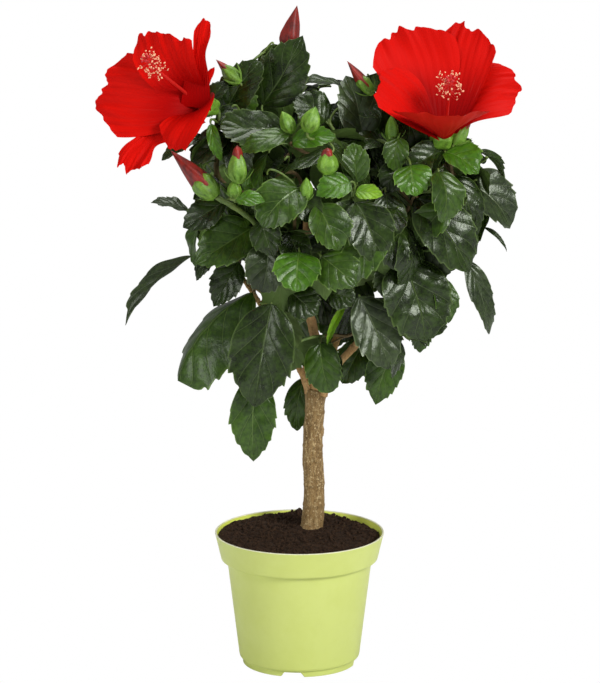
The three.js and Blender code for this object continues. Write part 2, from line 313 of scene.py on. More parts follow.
camera_data = bpy.data.cameras.new("camera")
camera_data.lens = CAMERA_LENS
camera_data.clip_end = 50
camera = add_object("camera", camera_data)
camera.location = to_frame(CAMERA_AIM + CAMERA_DISTANCE * VIEW_BACK)
camera.rotation_euler = (math.pi / 2 - CAMERA_ELEVATION, 0, 0)
bpy.context.scene.camera = camera

FLOOR_REACH = 14.0
floor_mesh = bpy.data.meshes.new("floor")
floor_mesh.from_pydata([(x * FLOOR_REACH, y * FLOOR_REACH, 0) for x, y in
                        ((-1, -1), (1, -1), (1, 1), (-1, 1))], [], [(0, 1, 2, 3)])
floor = add_object("floor", floor_mesh)
floor_look, tree, shader = material("pale_floor", (0.8, 0.8, 0.8), 0.9)
floor_shows = node(tree, "ShaderNodeMixShader", {
    0: node(tree, "ShaderNodeLightPath").outputs["Is Camera Ray"], 1: shader.outputs[0],
    2: node(tree, "ShaderNodeEmission").outputs[0]})
tree.links.new(floor_shows.outputs[0], tree.nodes["Material Output"].inputs["Surface"])
floor_mesh.materials.append(floor_look)

# %% Lights and sky
PLANT_MIDDLE = Vector((0, 0, 0.33))


def soft_light(name, place, width, power):
    """A square area light that shines at the middle of the plant."""
    data = bpy.data.lights.new(name, "AREA")
    data.size = width
    data.energy = power
    light = add_object(name, data)
    light.location = place
    light.rotation_euler = (PLANT_MIDDLE - Vector(place)).to_track_quat("-Z", "Y").to_euler()


soft_light("key_right", (1.5, -1.7, 1.5), 0.8, 45)
soft_light("fill_left", (-1.9, -1.5, 1.0), 1.0, 15)
soft_light("top", (0.1, 0.3, 2.3), 1.2, 26)
world = bpy.data.worlds.new("pale_sky")
world.use_nodes = True
sky = world.node_tree.nodes["Background"]
sky.inputs["Color"].default_value = (1, 1, 1, 1)
sky.inputs["Strength"].default_value = 0.26
bpy.context.scene.world = world
bpy.context.scene.view_settings.view_transform = "Standard"
print("camera, floor and lights are in place")

# %% [markdown]
# ## A shared effect: blotches
# Leaf, bark, soil and plastic all vary a little in tone. One group makes a soft mottling from
# Object coordinates at any scale, with a coarse and a fine layer.

# %% The mottling group
mottle, given, result = group("mottling", "Coordinates", {"Scale": 60.0, "Fine Share": 0.4}, ["Mottle"])
coarse, fine = (node(mottle, "ShaderNodeTexNoise", {"Vector": given["Coordinates"], "Scale": scale,
                                                    "Detail": detail}).outputs[0]
                for scale, detail in ((given["Scale"], 3.0),
                                      (maths(mottle, "MULTIPLY", given["Scale"], 6.0), 2.0)))
mixed = node(mottle, "ShaderNodeMix", {0: given["Fine Share"], 2: coarse, 3: fine})
mottle.links.new(smooth(mottle, mixed.outputs[0], 0.3, 0.7), result["Mottle"])


def mottled(tree, scale, fine_share=0.4, stretch=(1, 1, 1)):
    """A mask from 0 to 1 of soft blotches, about 1 / scale metres across."""
    place = node(tree, "ShaderNodeTexCoord").outputs["Object"]
    if stretch != (1, 1, 1):
        place = node(tree, "ShaderNodeMapping", {"Vector": place, "Scale": stretch}).outputs[0]
    return node(tree, "ShaderNodeGroup", {"Coordinates": place, "Scale": scale, "Fine Share": fine_share},
                node_tree=mottle).outputs["Mottle"]


def two_tone(name, color, roughness, blotches, dark, light):
    """A plain material of blotches (the arguments of mottled) between two screen colours."""
    look, tree, shader = material(name, color, roughness)
    coat(tree, shader, blend(tree, mottled(tree, *blotches), srgb(*dark), srgb(*light)))
    return look


# %% [markdown]
# ## The pot
# A thin nursery pot of pale lime plastic: a tapered body, a plain step out to a deep rim band,
# a thin lip with a painted highlight, and a foot ring with four drain notches. The inside of the
# wall is painted a brighter lime, as painted light. It is one profile carried round a circle. The
# profile goes up the outside, over the lip and down the inside, so the wall has its thickness. The
# notches lift the ring's lowest points where the angle falls inside a notch.

# %% Pot sizes and profile
POT_WALL = 1.5
BAND_HEIGHT = 24.0
BAND_FOOT_RADIUS = 69.5
BODY_TOP_RADIUS = 64.3
BODY_FOOT_RADIUS = 53.7
FOOT_RING_RADIUS = 50.5
FOOT_RING_INNER = 47.0
FOOT_RING_HEIGHT = 5.0
FLOOR_RECESS = 3.0
NOTCH_FIRST_ANGLE = math.radians(-97)
NOTCH_HEIGHT = 4.2
NOTCH_FOOT_HALF = 10.5
NOTCH_TOP_HALF = 7.5


def rounded(corners, steps=5):
    """A profile (radius, height, rounding) with each corner cut by its rounding and eased by a curve.

    Each corner becomes the curve (1-q)^2 a + 2 q (1-q) corner + q^2 b between points a and b that
    lie one rounding away on either side.
    """
    corners = np.asarray(corners, float)
    q = np.linspace(0, 1, steps)[:, None]
    out = [corners[:1, :2]]
    for before, corner, after in zip(corners[:-2], corners[1:-1], corners[2:]):
        a = corner[:2] + unit(before[:2] - corner[:2]) * corner[2]
        b = corner[:2] + unit(after[:2] - corner[:2]) * corner[2]
        out.append((1 - q) ** 2 * a + 2 * q * (1 - q) * corner[:2] + q ** 2 * b)
    out.append(corners[-1:, :2])
    return np.concatenate(out)


def divided(profile, longest):
    """The profile with extra points so that no step is longer than `longest`."""
    out = [profile[:1]]
    for a, b in zip(profile[:-1], profile[1:]):
        count = max(1, int(math.ceil(np.linalg.norm(b - a) / longest)))
        out.append(a + (b - a) * (np.arange(1, count + 1) / count)[:, None])
    return np.concatenate(out)


band_foot = POT_HEIGHT - BAND_HEIGHT
pot_profile = divided(rounded([
    (0, FLOOR_RECESS, 0), (FOOT_RING_INNER, FLOOR_RECESS, 0.5), (FOOT_RING_INNER + 0.6, 0, 0.5),
    (FOOT_RING_RADIUS, 0, 0.6), (FOOT_RING_RADIUS + 0.2, FOOT_RING_HEIGHT, 0.3),
    (BODY_FOOT_RADIUS - 0.6, FOOT_RING_HEIGHT + 0.5, 2.2), (BODY_FOOT_RADIUS, FOOT_RING_HEIGHT + 3.5, 0.5),
    (BODY_TOP_RADIUS, band_foot, 0.7), (BAND_FOOT_RADIUS, band_foot + 0.4, 0.9),
    (RIM_RADIUS - 0.35, POT_HEIGHT - 1.6, 0.4), (RIM_RADIUS, POT_HEIGHT - 1.1, 0.3),
    (RIM_RADIUS, POT_HEIGHT, 0.5), (RIM_RADIUS - POT_WALL, POT_HEIGHT, 0.5),
    (BAND_FOOT_RADIUS - POT_WALL, band_foot + POT_WALL, 0.5), (BODY_TOP_RADIUS - POT_WALL, band_foot, 0.5),
    (BODY_FOOT_RADIUS - POT_WALL, FOOT_RING_HEIGHT + 4, 1), (BODY_FOOT_RADIUS - 5, FLOOR_RECESS + 2, 1),
    (0, FLOOR_RECESS + 2, 0)]), 4.0)
print("pot profile:", len(pot_profile), "points")


# %% The pot's surface
def turned(profile, sides):
    """The profile carried round Z: x = r cos a, y = r sin a, z = height. Faces point outwards."""
    angle = circle(sides)
    r = profile[:, 0][:, None]
    z = np.repeat(profile[:, 1][:, None], sides, 1)
    return np.stack([r * np.cos(angle), r * np.sin(angle), z], -1)


pot_grid = turned(pot_profile, 288)
turn = np.arctan2(pot_grid[..., 1], pot_grid[..., 0])
to_notch = (turn - NOTCH_FIRST_ANGLE + math.pi / 4) % (math.pi / 2) - math.pi / 4
along_rim = np.abs(to_notch) * FOOT_RING_RADIUS
notch_level = np.interp(along_rim, [NOTCH_TOP_HALF, NOTCH_FOOT_HALF], [NOTCH_HEIGHT, 0.0])
ring_part = np.hypot(pot_grid[..., 0], pot_grid[..., 1]) > FOOT_RING_INNER - 1.5
below = ring_part & (pot_grid[..., 2] < FOOT_RING_HEIGHT - 0.2)
pot_grid[..., 2] = np.where(below, np.maximum(pot_grid[..., 2], notch_level), pot_grid[..., 2])

pot_look, tree, shader = material("lime_plastic", (0.62, 0.70, 0.19), 0.42, IOR=1.48)
shader.inputs["Subsurface Weight"].default_value = 0.12
shader.inputs["Subsurface Radius"].default_value = (0.004, 0.004, 0.002)
lime = blend(tree, smooth(tree, mottled(tree, 22, 0.25), 0, 1, 0, 0.5), srgb(208, 219, 121),
             srgb(214, 225, 133))
here = node(tree, "ShaderNodeNewGeometry").outputs
spoke = vector_maths(tree, "SUBTRACT", here["Position"], tuple(to_frame(np.zeros(3))))
spoke = vector_maths(tree, "NORMALIZE", vector_maths(tree, "MULTIPLY", spoke, (1, 1, 0)))
outward = vector_maths(tree, "DOT_PRODUCT", spoke, here["Normal"])
# Painted light: the inside of the wall is painted a brighter, yellower lime than the outside.
inner_wall_painted_light = smooth(tree, outward, -0.3, 0.1, 1, 0)
lime = blend(tree, inner_wall_painted_light, lime, srgb(238, 250, 106))
# Painted highlight: a near-white band along the top of the lip.
lip_level = float(to_frame(np.array([0, 0, POT_HEIGHT]))[2])
lip_painted_highlight = smooth(tree, separate(tree, here["Position"])[2], lip_level - 0.9 * MM, lip_level - 0.3 * MM)
lime = blend(tree, maths(tree, "MULTIPLY", lip_painted_highlight, 0.8), lime, srgb(250, 248, 222))
grain = mottled(tree, 300, 0.6)
coat(tree, shader, lime, smooth(tree, grain, 0, 1, 0.36, 0.5), (0.12, 0.0004, grain))
piece("pot_shell", *many(pot_grid[None], around=True), pot_look, "pot_plastic", ("pot",))

# %% [markdown]
# ## The soil
# Moist peat soil: nearly black, lumpy, a little mounded round the stem. The body is a disc of
# concentric rings whose heights come from noise at three sizes; its edge drops at the wall. Loose
# crumbs are small twelve-cornered stones, each squashed, turned and scattered by the seed.

# %% Soil body
trunk_low, trunk_high = (from_frame(corner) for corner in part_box("trunk"))
STEM_FOOT = np.array([9.2, 18.0, trunk_low[2]])
STEM_FORK = np.array([13.6, 18.0, trunk_high[2]])
SOIL_EDGE_LEVEL = POT_HEIGHT - 4.5
SOIL_EDGE_RADIUS = 71.6
SOIL_SIDES = 260
SOIL_RINGS = np.concatenate([np.linspace(0, 1, 84), [0.985, 0.95]])  # the last two drop at the wall


def soil_level(x, y):
    """Height of the soil: edge level + a mound that fades with distance from the stem + lumps."""
    away = np.hypot(x - STEM_FOOT[0], y - STEM_FOOT[1])
    flat = np.stack([x, y, np.zeros_like(x)], -1)
    lumps = 1.5 * noise(flat, 17, 3) + 1.0 * noise(flat, 7, 4) + 0.6 * noise(flat, 3.2, 5)
    mound = 4.2 * np.exp(-((away / 32) ** 2))
    mound = mound + 3.4 * np.exp(-(((x - 2) / 42) ** 2)) * np.clip((y - 20) / 42, 0, 1)
    near_stem = np.exp(-((away / 11) ** 2))
    return SOIL_EDGE_LEVEL + mound - 0.018 * x + lumps * (1 - 0.7 * near_stem)


soil_turn = circle(SOIL_SIDES)
soil_x = SOIL_EDGE_RADIUS * SOIL_RINGS[:, None] * np.cos(soil_turn)
soil_y = SOIL_EDGE_RADIUS * SOIL_RINGS[:, None] * np.sin(soil_turn)
soil_z = soil_level(soil_x, soil_y)
soil_z[-2] = SOIL_EDGE_LEVEL - 6
soil_z[-1] = SOIL_EDGE_LEVEL - 14
soil_under = np.stack([soil_x[-1] * 0, soil_y[-1] * 0, soil_z[-1]], -1)[None]
soil_grid = np.concatenate([np.stack([soil_x, soil_y, soil_z], -1), soil_under])[::-1]

soil_look, tree, shader = material("potting_soil", (0.02, 0.012, 0.007), 0.93, Specular_IOR_Level=0.25)
speck = mottled(tree, 260, 0.55)
peat = blend(tree, speck, (0.012, 0.0058, 0.003, 1), (0.070, 0.036, 0.018, 1))
fibre = smooth(tree, mottled(tree, 900, 0.5), 0.82, 0.95)
coat(tree, shader, blend(tree, fibre, peat, (0.12, 0.085, 0.055, 1)), bump=(0.6, 0.0012, speck))
piece("soil_body", *many(soil_grid[None], around=True), soil_look, "potting_soil", ("soil",))

# %% Soil crumbs
GOLDEN = (1 + 5 ** 0.5) / 2
STONE_POINTS = unit(np.array([(-1, GOLDEN, 0), (1, GOLDEN, 0), (-1, -GOLDEN, 0), (1, -GOLDEN, 0),
                              (0, -1, GOLDEN), (0, 1, GOLDEN), (0, -1, -GOLDEN), (0, 1, -GOLDEN),
                              (GOLDEN, 0, -1), (GOLDEN, 0, 1), (-GOLDEN, 0, -1), (-GOLDEN, 0, 1)]))
STONE_FACES = np.array([(0, 11, 5), (0, 5, 1), (0, 1, 7), (0, 7, 10), (0, 10, 11), (1, 5, 9), (5, 11, 4),
                        (11, 10, 2), (10, 7, 6), (7, 1, 8), (3, 9, 4), (3, 4, 2), (3, 2, 6), (3, 6, 8),
                        (3, 8, 9), (4, 9, 5), (2, 4, 11), (6, 2, 10), (8, 6, 7), (9, 8, 1)])


def random_turns(count):
    """Evenly spread random rotations, from the QR parts of random matrices."""
    q, r = np.linalg.qr(draw.normal(size=(count, 3, 3)))
    q = q * np.sign(np.einsum("nii->ni", r))[:, None, :]
    q[:, :, 0] *= np.sign(np.linalg.det(q))[:, None]
    return q


def stones(middles, sizes, flat=0.7, rough=0.28):
    """One uneven twelve-cornered stone for each middle: corners pushed in or out, squashed, turned."""
    count = len(middles)
    shape = STONE_POINTS[None] * (1 + rough * draw.uniform(-1, 1, (count, 12, 1)))
    shape = shape * draw.uniform(flat, 1, (count, 1, 3)) * np.asarray(sizes)[:, None, None]
    shape = np.einsum("nij,nkj->nki", random_turns(count), shape) + np.asarray(middles)[:, None]
    faces = (STONE_FACES[None] + 12 * np.arange(count)[:, None, None]).reshape(-1, 3)
    return shape.reshape(-1, 3), faces


CRUMBS = 2600
CRUMB_FREE_RADIUS = 11.0  # round the stem
crumb_turn = draw.uniform(0, 2 * math.pi, CRUMBS)
crumb_reach = SOIL_EDGE_RADIUS * 0.975 * np.sqrt(draw.uniform(0, 1, CRUMBS))
crumb_x = crumb_reach * np.cos(crumb_turn)
crumb_y = crumb_reach * np.sin(crumb_turn)
crumb_size = 0.5 + 2.1 * draw.uniform(0, 1, CRUMBS) ** 3.2
clear = np.hypot(crumb_x - STEM_FOOT[0], crumb_y - STEM_FOOT[1]) > CRUMB_FREE_RADIUS
crumb_middles = np.stack([crumb_x, crumb_y, soil_level(crumb_x, crumb_y) + crumb_size * 0.2], -1)
piece("soil_crumbs", *stones(crumb_middles[clear], crumb_size[clear]), soil_look, "potting_soil",
      weld=False)

# %% [markdown]
# ## Stem and boughs
# The stem is a tube 18 mm thick with real bark in its surface: long shallow ridges, fine pits, old
# leaf scars that swell like rings, and a flare at the soil. The boughs are thinner tubes with the
# same bark relief in a paler tan: partly the tone of young bark, partly painted light that makes up
# for the shade the leaves cast on them. Both follow smooth curves through a few chosen points.

# %% Curves and tubes
def smooth_path(points, count):
    """A curve that passes through all the points (each span is a cubic set by its four neighbours)."""
    p = np.asarray(points, float)
    p = np.concatenate([[2 * p[0] - p[1]], p, [2 * p[-1] - p[-2]]])
    place = np.linspace(0, len(p) - 3, count)
    k = np.minimum(place.astype(int), len(p) - 4)
    f = (place - k)[:, None]
    a, b, c, d = p[k], p[k + 1], p[k + 2], p[k + 3]
    return 0.5 * (2 * b + (c - a) * f + (2 * a - 5 * b + 4 * c - d) * f ** 2
                  + (3 * b - a - 3 * c + d) * f ** 3)


def cubic(f, p0, p1, p2, p3):
    """Points at the shares f of the way from p0 to p3, pulled towards p1 and p2 on the way."""
    return (1 - f) ** 3 * p0 + 3 * f * (1 - f) ** 2 * p1 + 3 * f ** 2 * (1 - f) * p2 + f ** 3 * p3


def bezier(p0, p1, p2, p3, count):
    """Cubic curves (n, count, 3) between rows of points."""
    rows = (np.asarray(p, float)[..., None, :] for p in (p0, p1, p2, p3))
    return cubic(np.linspace(0, 1, count)[:, None], *rows)


def tubes(paths, radii, sides):
    """Tubes along paths (n, steps, 3): ring point = centre + radius (cos a side + sin a up)."""
    paths = np.asarray(paths, float)
    radii = np.broadcast_to(np.asarray(radii, float), paths.shape[:2])
    along = unit(np.gradient(paths, axis=1))
    least = np.argmin(np.abs(unit(paths[:, -1] - paths[:, 0])), axis=1)
    side = unit(np.cross(along, np.eye(3)[least][:, None]))
    up = np.cross(along, side)
    angle = circle(sides)[:, None]
    ring = np.cos(angle) * side[:, :, None] + np.sin(angle) * up[:, :, None]
    return paths[:, :, None] + ring * radii[..., None, None]


def barked(path, radii, sides, relief, seed):
    """One tube with bark: each point moves out along its spoke by ridges, pits and swollen scars."""
    grid = tubes(path[None], radii[None], sides)[0]
    spoke = unit(grid - path[:, None])
    ridges = noise(grid, (2.6, 2.6, 15), seed) + 0.6 * noise(grid, (1.3, 1.3, 6), seed + 1)
    pits = np.minimum(noise(grid, (1.1, 1.1, 1.5), seed + 2) + 0.25, 0)
    lumps = noise(grid, (9, 9, 13), seed + 3)
    out = relief * (0.30 * ridges + 0.75 * pits + 0.8 * lumps)
    return grid + spoke * out[..., None]


# %% Stem
STEM_FOOT_RADIUS = 9.3
STEM_TOP_RADIUS = 8.6
STEM_STEPS = 250
LEAF_SCARS = [  # share of the way up, swelling
    (0.2, 0.35), (0.34, 0.5), (0.47, 0.3), (0.6, 0.55), (0.72, 0.35), (0.83, 0.5)]
share = np.linspace(0, 1, STEM_STEPS)
stem_path = STEM_FOOT + (STEM_FORK - STEM_FOOT) * share[:, None]
stem_path[:, 0] += 1.1 + 1.2 * np.sin(2 * math.pi * share) + 0.5 * np.sin(9 * share)
stem_path[:, 2] = np.interp(share, [0, 1], [STEM_FOOT[2] - 7, STEM_FORK[2] + 2])
above_soil = np.maximum(stem_path[:, 2] - STEM_FOOT[2], -3)
stem_radii = np.interp(share, [0, 1], [STEM_FOOT_RADIUS, STEM_TOP_RADIUS])
stem_radii += 0.9 * np.exp(-above_soil / 6) + 1.3 * np.exp(-((share - 0.95) / 0.06) ** 2)
for scar, size in LEAF_SCARS:
    stem_radii += size * np.exp(-((share - scar) / 0.012) ** 2)
stem_radii *= np.sqrt(np.clip((1.0 - share) / 0.02, 0, 1))
stem_grid = barked(stem_path, stem_radii, 120, np.clip((1 - share) / 0.03, 0, 1)[:, None], 11)
KNOTS = [  # middle, size, rise
    ((17, 9, 184), 4.5, 1.7), ((5, 10, 223), 3.5, 1.1), ((20, 22, 205), 4.0, 1.3)]
stem_spoke = unit(stem_grid - stem_path[:, None])
for knot, knot_size, knot_rise in KNOTS:
    away = np.linalg.norm(stem_grid - np.array(knot, float), axis=-1) / knot_size
    ring = np.exp(-((away - 0.75) / 0.35) ** 2) - 0.4 * np.exp(-(away / 0.4) ** 2)
    stem_grid = stem_grid + stem_spoke * (knot_rise * ring)[..., None]

bark_look, tree, shader = material("bark", (0.30, 0.20, 0.11), 0.82)
narrow = mottled(tree, 420, 0.5, (1, 1, 0.3))
brown = blend(tree, mottled(tree, 70, 0.35, (1, 1, 0.35)), srgb(120, 92, 50), srgb(166, 134, 84))
streaked = blend(tree, smooth(tree, narrow, 0.45, 0.95, 0, 0.8), brown, srgb(202, 176, 126))
crack = smooth(tree, mottled(tree, 620, 0.5, (1, 1, 0.6)), 0.05, 0.4, 0.85, 0)
dots = node(tree, "ShaderNodeTexVoronoi", {"Vector": node(tree, "ShaderNodeTexCoord").outputs["Object"],
                                           "Scale": 330.0})
dot_mask = smooth(tree, dots.outputs["Distance"], 0.16, 0.3, 0.8, 0)
streaked = blend(tree, crack, streaked, srgb(70, 48, 24))
coat(tree, shader, blend(tree, dot_mask, streaked, srgb(206, 182, 136)), bump=(0.5, 0.0006, narrow))
piece("bark_stem", *many(stem_grid[None], around=True), bark_look, "bark", ("trunk",))

# %% Boughs
BOUGH_STEPS = 150
BOUGHS = {  # points on the way, radius at the foot and at the tip
    "bough_left": ([(9, 16, 243), (-3, 12, 272), (-30, 4, 318), (-52, -2, 352)], 3.1, 2.0),
    "bough_centre": ([(16, 16, 244), (15, 6, 286), (7, -2, 326), (5, -10, 366), (6, -22, 408)], 4.8, 3.0),
    "bough_right": ([(20, 14, 243), (33, 8, 268), (54, 2, 295), (78, -2, 335), (96, -6, 376)], 3.7, 2.5),
    "bough_back_left": ([(10, 22, 243), (0, 36, 292), (-18, 50, 336), (-36, 62, 392)], 4.0, 2.6),
    "bough_back_right": ([(19, 23, 243), (34, 40, 290), (56, 54, 332), (76, 66, 386)], 4.0, 2.6),
}
# The boughs' tan is paler than the stem's bark: partly young bark, partly painted light against the leaves'
# shade.
young_bark_painted_lighter, tree, shader = material("bark_young_painted_lighter", (0.36, 0.23, 0.12), 0.78)
young_brown_painted_lighter = blend(tree, mottled(tree, 90, 0.4, (1, 1, 0.35)), srgb(178, 134, 80), srgb(216, 176, 120))
young_dark = smooth(tree, mottled(tree, 620, 0.5, (1, 1, 0.6)), 0.05, 0.4, 0.6, 0)
coat(tree, shader, blend(tree, young_dark, young_brown_painted_lighter, srgb(96, 64, 34)))
bough_parts = []
bough_lines = {}
for number, (name, (points, foot, tip)) in enumerate(BOUGHS.items()):
    line = smooth_path(points, BOUGH_STEPS)
    line += 1.1 * np.stack([noise(line + 40 * k, 19, 50 + number) for k in range(3)], -1)
    way = np.linspace(0, 1, BOUGH_STEPS)
    thick = foot + (tip - foot) * way + 1.6 * np.exp(-way / 0.035)
    for scar in np.arange(0.12, 0.95, 0.13):
        thick += 0.35 * np.exp(-((way - scar - 0.02 * number) / 0.008) ** 2)
    thick *= np.sqrt(np.clip((1 - way) / 0.02, 0, 1))
    bough_parts.append(many(barked(line, thick, 28, 0.42, 60 + 4 * number)[None], around=True))
    bough_lines[name] = line
piece("bark_boughs", *gather(bough_parts), young_bark_painted_lighter, "bark", tuple(BOUGHS))

# %% [markdown]
# ## The leaf blade
# A blade is a grid: s runs from the base to the tip, t across from -1 to 1. Its half width is
# s^p (1-s)^q, with coarse teeth in the outer part. The midrib is an arc that turns by `curl` along
# its length. The halves are raised by `fold`, their edges sink by `droop`, and the whole blade turns
# about its midrib by `twist`. Between the side veins the blade swells into shallow pleats.

# %% Leaf blades
VEIN_PAIRS, VEIN_LEAN, VEIN_CURVE, VEIN_STAGGER = 4.4, 0.52, 0.14, 0.04  # also used by the vein pattern
TOOTH_RISE, TOOTH_FALL = 0.66, 0.34  # shares of a tooth
TOOTHED_FROM = 0.28


def blades(spec, teeth, steps_per_tooth, columns, tooth_depth=0.075):
    """Grids (count, rows, columns, 3) and their (u, v) for leaves given as a dict of arrays.

    With theta = curl (1/2 - s), the midrib's tangent is cos theta along + sin theta face; its points
    are the sums of that tangent, scaled so that the last one lands on the tip.
    """
    g = {key: np.asarray(value, float) for key, value in spec.items()}
    s = np.linspace(0, 1, teeth * steps_per_tooth + 1)[None, :, None]
    t = np.linspace(-1, 1, columns)[None, None, :]
    one = {key: g[key][:, None, None] for key in g if g[key].ndim == 1}
    reach = np.linalg.norm(g["tip"] - g["base"], axis=1)[:, None, None]
    along = unit(g["tip"] - g["base"])
    face = square_to(g["face"], along)
    across = np.cross(along, face)
    curl = np.where(np.abs(one["curl"]) < 0.01, 0.01, one["curl"])
    theta = curl * (0.5 - s)
    scale = reach / (2 * np.sin(curl / 2))
    forward = (np.sin(curl / 2) - np.sin(theta)) * scale
    rise = (np.cos(theta) - np.cos(curl / 2)) * scale
    sway = one["sway"] * reach * np.sin(math.pi * s)

    q = one["sharp"]
    p = q * one["widest"] / (1 - one["widest"])
    outline = s ** p * (1 - s) ** q
    outline = outline / outline.max(axis=1, keepdims=True)
    half = one["width"] / 2 * outline
    tooth = (s * teeth + one["phase"] + 0.5 * (t < 0)) % 1
    saw = np.where(tooth < TOOTH_RISE, np.sin(tooth / TOOTH_RISE * math.pi / 2), (1 - tooth) / TOOTH_FALL)
    saw = saw * np.clip((s - TOOTHED_FROM) / 0.25, 0, 1) * np.clip((1 - s) / 0.08, 0, 1) * np.abs(t) ** 6
    saw = saw * (0.35 + 1.3 * ((one["phase"] * 7.3 + 0.31 * np.floor(s * teeth + one["phase"])) % 1))
    lateral = t * half * (1 + 1.6 * tooth_depth * (saw - 0.35 * np.abs(t) ** 6))
    vein_way = s - VEIN_LEAN * np.abs(t) + VEIN_CURVE * t ** 2 + VEIN_STAGGER * (t > 0)
    pleat = np.abs(np.sin(math.pi * VEIN_PAIRS * vein_way)) - 0.55
    pleat = pleat * np.abs(t) ** 0.6 * (1 - np.abs(t) ** 3)
    wave = np.sin(2 * math.pi * (one["waves"] * s + one["phase"] + 0.23 * (t > 0)))
    height = (np.abs(lateral) * np.sin(one["fold"]) - one["droop"] * half * t ** 2
              + one["ripple"] * one["width"] * wave * np.abs(t) ** 2.5 * np.sin(math.pi * s) ** 0.5
              + one["pleats"] * one["width"] * pleat * np.sin(math.pi * s) ** 0.7)
    lateral = lateral * np.cos(one["fold"])

    def axis(v):
        return v[:, None, None, :]

    tangent = np.cos(theta)[..., None] * axis(along) + np.sin(theta)[..., None] * axis(face)
    normal = -np.sin(theta)[..., None] * axis(along) + np.cos(theta)[..., None] * axis(face)
    turn = (one["twist"] * (s - 0.35))[..., None]
    side = np.cos(turn) * axis(across) + np.sin(turn) * normal
    normal = np.cos(turn) * normal - np.sin(turn) * axis(across)
    middle = (axis(g["base"]) + forward[..., None] * axis(along) + rise[..., None] * axis(face)
              + sway[..., None] * axis(across))
    grid = (middle + lateral[..., None] * side + height[..., None] * normal
            + (saw * half * 0.16)[..., None] * tangent)
    pucker = 1.25 * noise(grid, 17, 31) + 0.6 * noise(grid, 8, 32)
    pucker = pucker * one["pucker"] * np.sin(math.pi * s) ** 0.5
    grid = grid + pucker[..., None] * normal
    uv = np.broadcast_to(np.stack(np.broadcast_arrays(0.5 + 0.5 * t, s), -1), grid.shape[:3] + (2,))
    return grid, uv


def blade_piece(name, grid_sets, look, slot, stands_for=()):
    """Joins sets of blades (grid, uv) into one piece with a leaf map and a baking map."""
    parts, leaf_uv, bake_uv, total = [], [], [], sum(len(grid) for grid, _ in grid_sets)
    side = int(math.ceil(math.sqrt(total)))
    start = 0
    for grid, uv in grid_sets:
        parts.append(many(grid))
        leaf_uv.append(uv.reshape(-1, 2))
        order = start + np.arange(len(grid))
        corner = np.stack([order % side, order // side], -1)[:, None, None, :]
        bake_uv.append(((corner + 0.04 + 0.92 * uv) / side).reshape(-1, 2))
        start += len(grid)
    points, faces = gather(parts)
    maps = {"leaf_uv": np.concatenate(leaf_uv), "OFBake": np.concatenate(bake_uv)}
    return piece(name, points, faces, look, slot, stands_for, maps=maps)


# %% [markdown]
# ## Leaf material
# Every tone of leaf shares one pattern group: a pale midrib, side veins that leave it forwards and
# curve to the teeth, a fine net between them, and a thin light margin. Its height makes each field
# between veins swell, which breaks the gloss up the way a real hibiscus leaf does. The same height
# also darkens the low creases along the veins: painted shade.

# %% The vein group
veins, given, result = group("leaf_veins", "UV", {}, ["Veins", "Margin", "Height"])


def calc(operation, *values, **settings):
    """A Math node of the vein group."""
    return maths(veins, operation, *values, **settings)


across_uv, along_uv, _ = separate(veins, given["UV"])
signed = calc("MULTIPLY_ADD", across_uv, 2.0, -1.0)
t_out = calc("ABSOLUTE", signed)
vein_way = calc("ADD", calc("MULTIPLY_ADD", t_out, -VEIN_LEAN, along_uv),
                calc("MULTIPLY", calc("MULTIPLY", t_out, t_out), VEIN_CURVE))
vein_way = calc("MULTIPLY_ADD", calc("GREATER_THAN", signed, 0.0), VEIN_STAGGER, vein_way)
field = calc("ABSOLUTE", calc("SINE", calc("MULTIPLY", vein_way, math.pi * VEIN_PAIRS)))
side_vein, mid_vein = (
    calc("SUBTRACT", 1.0, calc("DIVIDE", distance, calc("MULTIPLY_ADD", place, taper, width)), clamp=True)
    for distance, place, taper, width in ((field, t_out, -0.07, 0.15), (t_out, along_uv, -0.025, 0.05)))
side_vein = calc("MULTIPLY", side_vein, smooth(veins, t_out, 0.75, 1.0, 0.75, 0.2))
net_place = node(veins, "ShaderNodeMapping", {"Vector": given["UV"], "Scale": (11, 17, 1)})
net = node(veins, "ShaderNodeTexVoronoi", {"Vector": net_place.outputs[0], "Scale": 1.0},
           feature="DISTANCE_TO_EDGE")
swell = calc("ADD", calc("MULTIPLY", calc("POWER", field, 0.6), 0.42),
               smooth(veins, net.outputs["Distance"], 0.0, 0.3, 0, 0.07))
for name, value in (("Veins", calc("MAXIMUM", side_vein, mid_vein)),
                    ("Margin", smooth(veins, t_out, 0.93, 1.0)),
                    ("Height", calc("MULTIPLY_ADD", mid_vein, -0.55, swell))):
    veins.links.new(value, result[name])


def leaf_material(name, dark, light, vein, under, roughness):
    """A glossy leaf: blotches between two greens, painted shade in vein creases, paler veins and margin, a
    dull pale underside.
    """
    look, tree, shader = material(name, light[:3], roughness, IOR=1.45, Specular_Tint=(0.93, 1.0, 0.86, 1))
    uv = node(tree, "ShaderNodeUVMap", uv_map="leaf_uv").outputs[0]
    pattern = node(tree, "ShaderNodeGroup", {"UV": uv}, node_tree=veins).outputs
    # Painted shade: the low creases along the veins are darkened towards half the dark green.
    painted_crease_shade = smooth(tree, pattern["Height"], 0.02, 0.4, 0.55, 0)
    upper = blend(tree, painted_crease_shade, blend(tree, mottled(tree, 52, 0.5), dark, light),
                  tuple(0.55 * c for c in dark[:3]) + (1,))
    pale = maths(tree, "MULTIPLY", pattern["Veins"], 0.5)
    edge = maths(tree, "MULTIPLY", pattern["Margin"], 0.55)
    upper = blend(tree, maths(tree, "MAXIMUM", pale, edge), upper, vein)
    back = node(tree, "ShaderNodeNewGeometry").outputs["Backfacing"]
    rough_skin = maths(tree, "MULTIPLY_ADD", mottled(tree, 130, 0.35), 0.16, pattern["Height"])
    coat(tree, shader, blend(tree, back, upper, blend(tree, pale, under, vein)),
         smooth(tree, back, 0, 1, roughness, 0.62), (0.62, 0.0012, rough_skin))
    return look
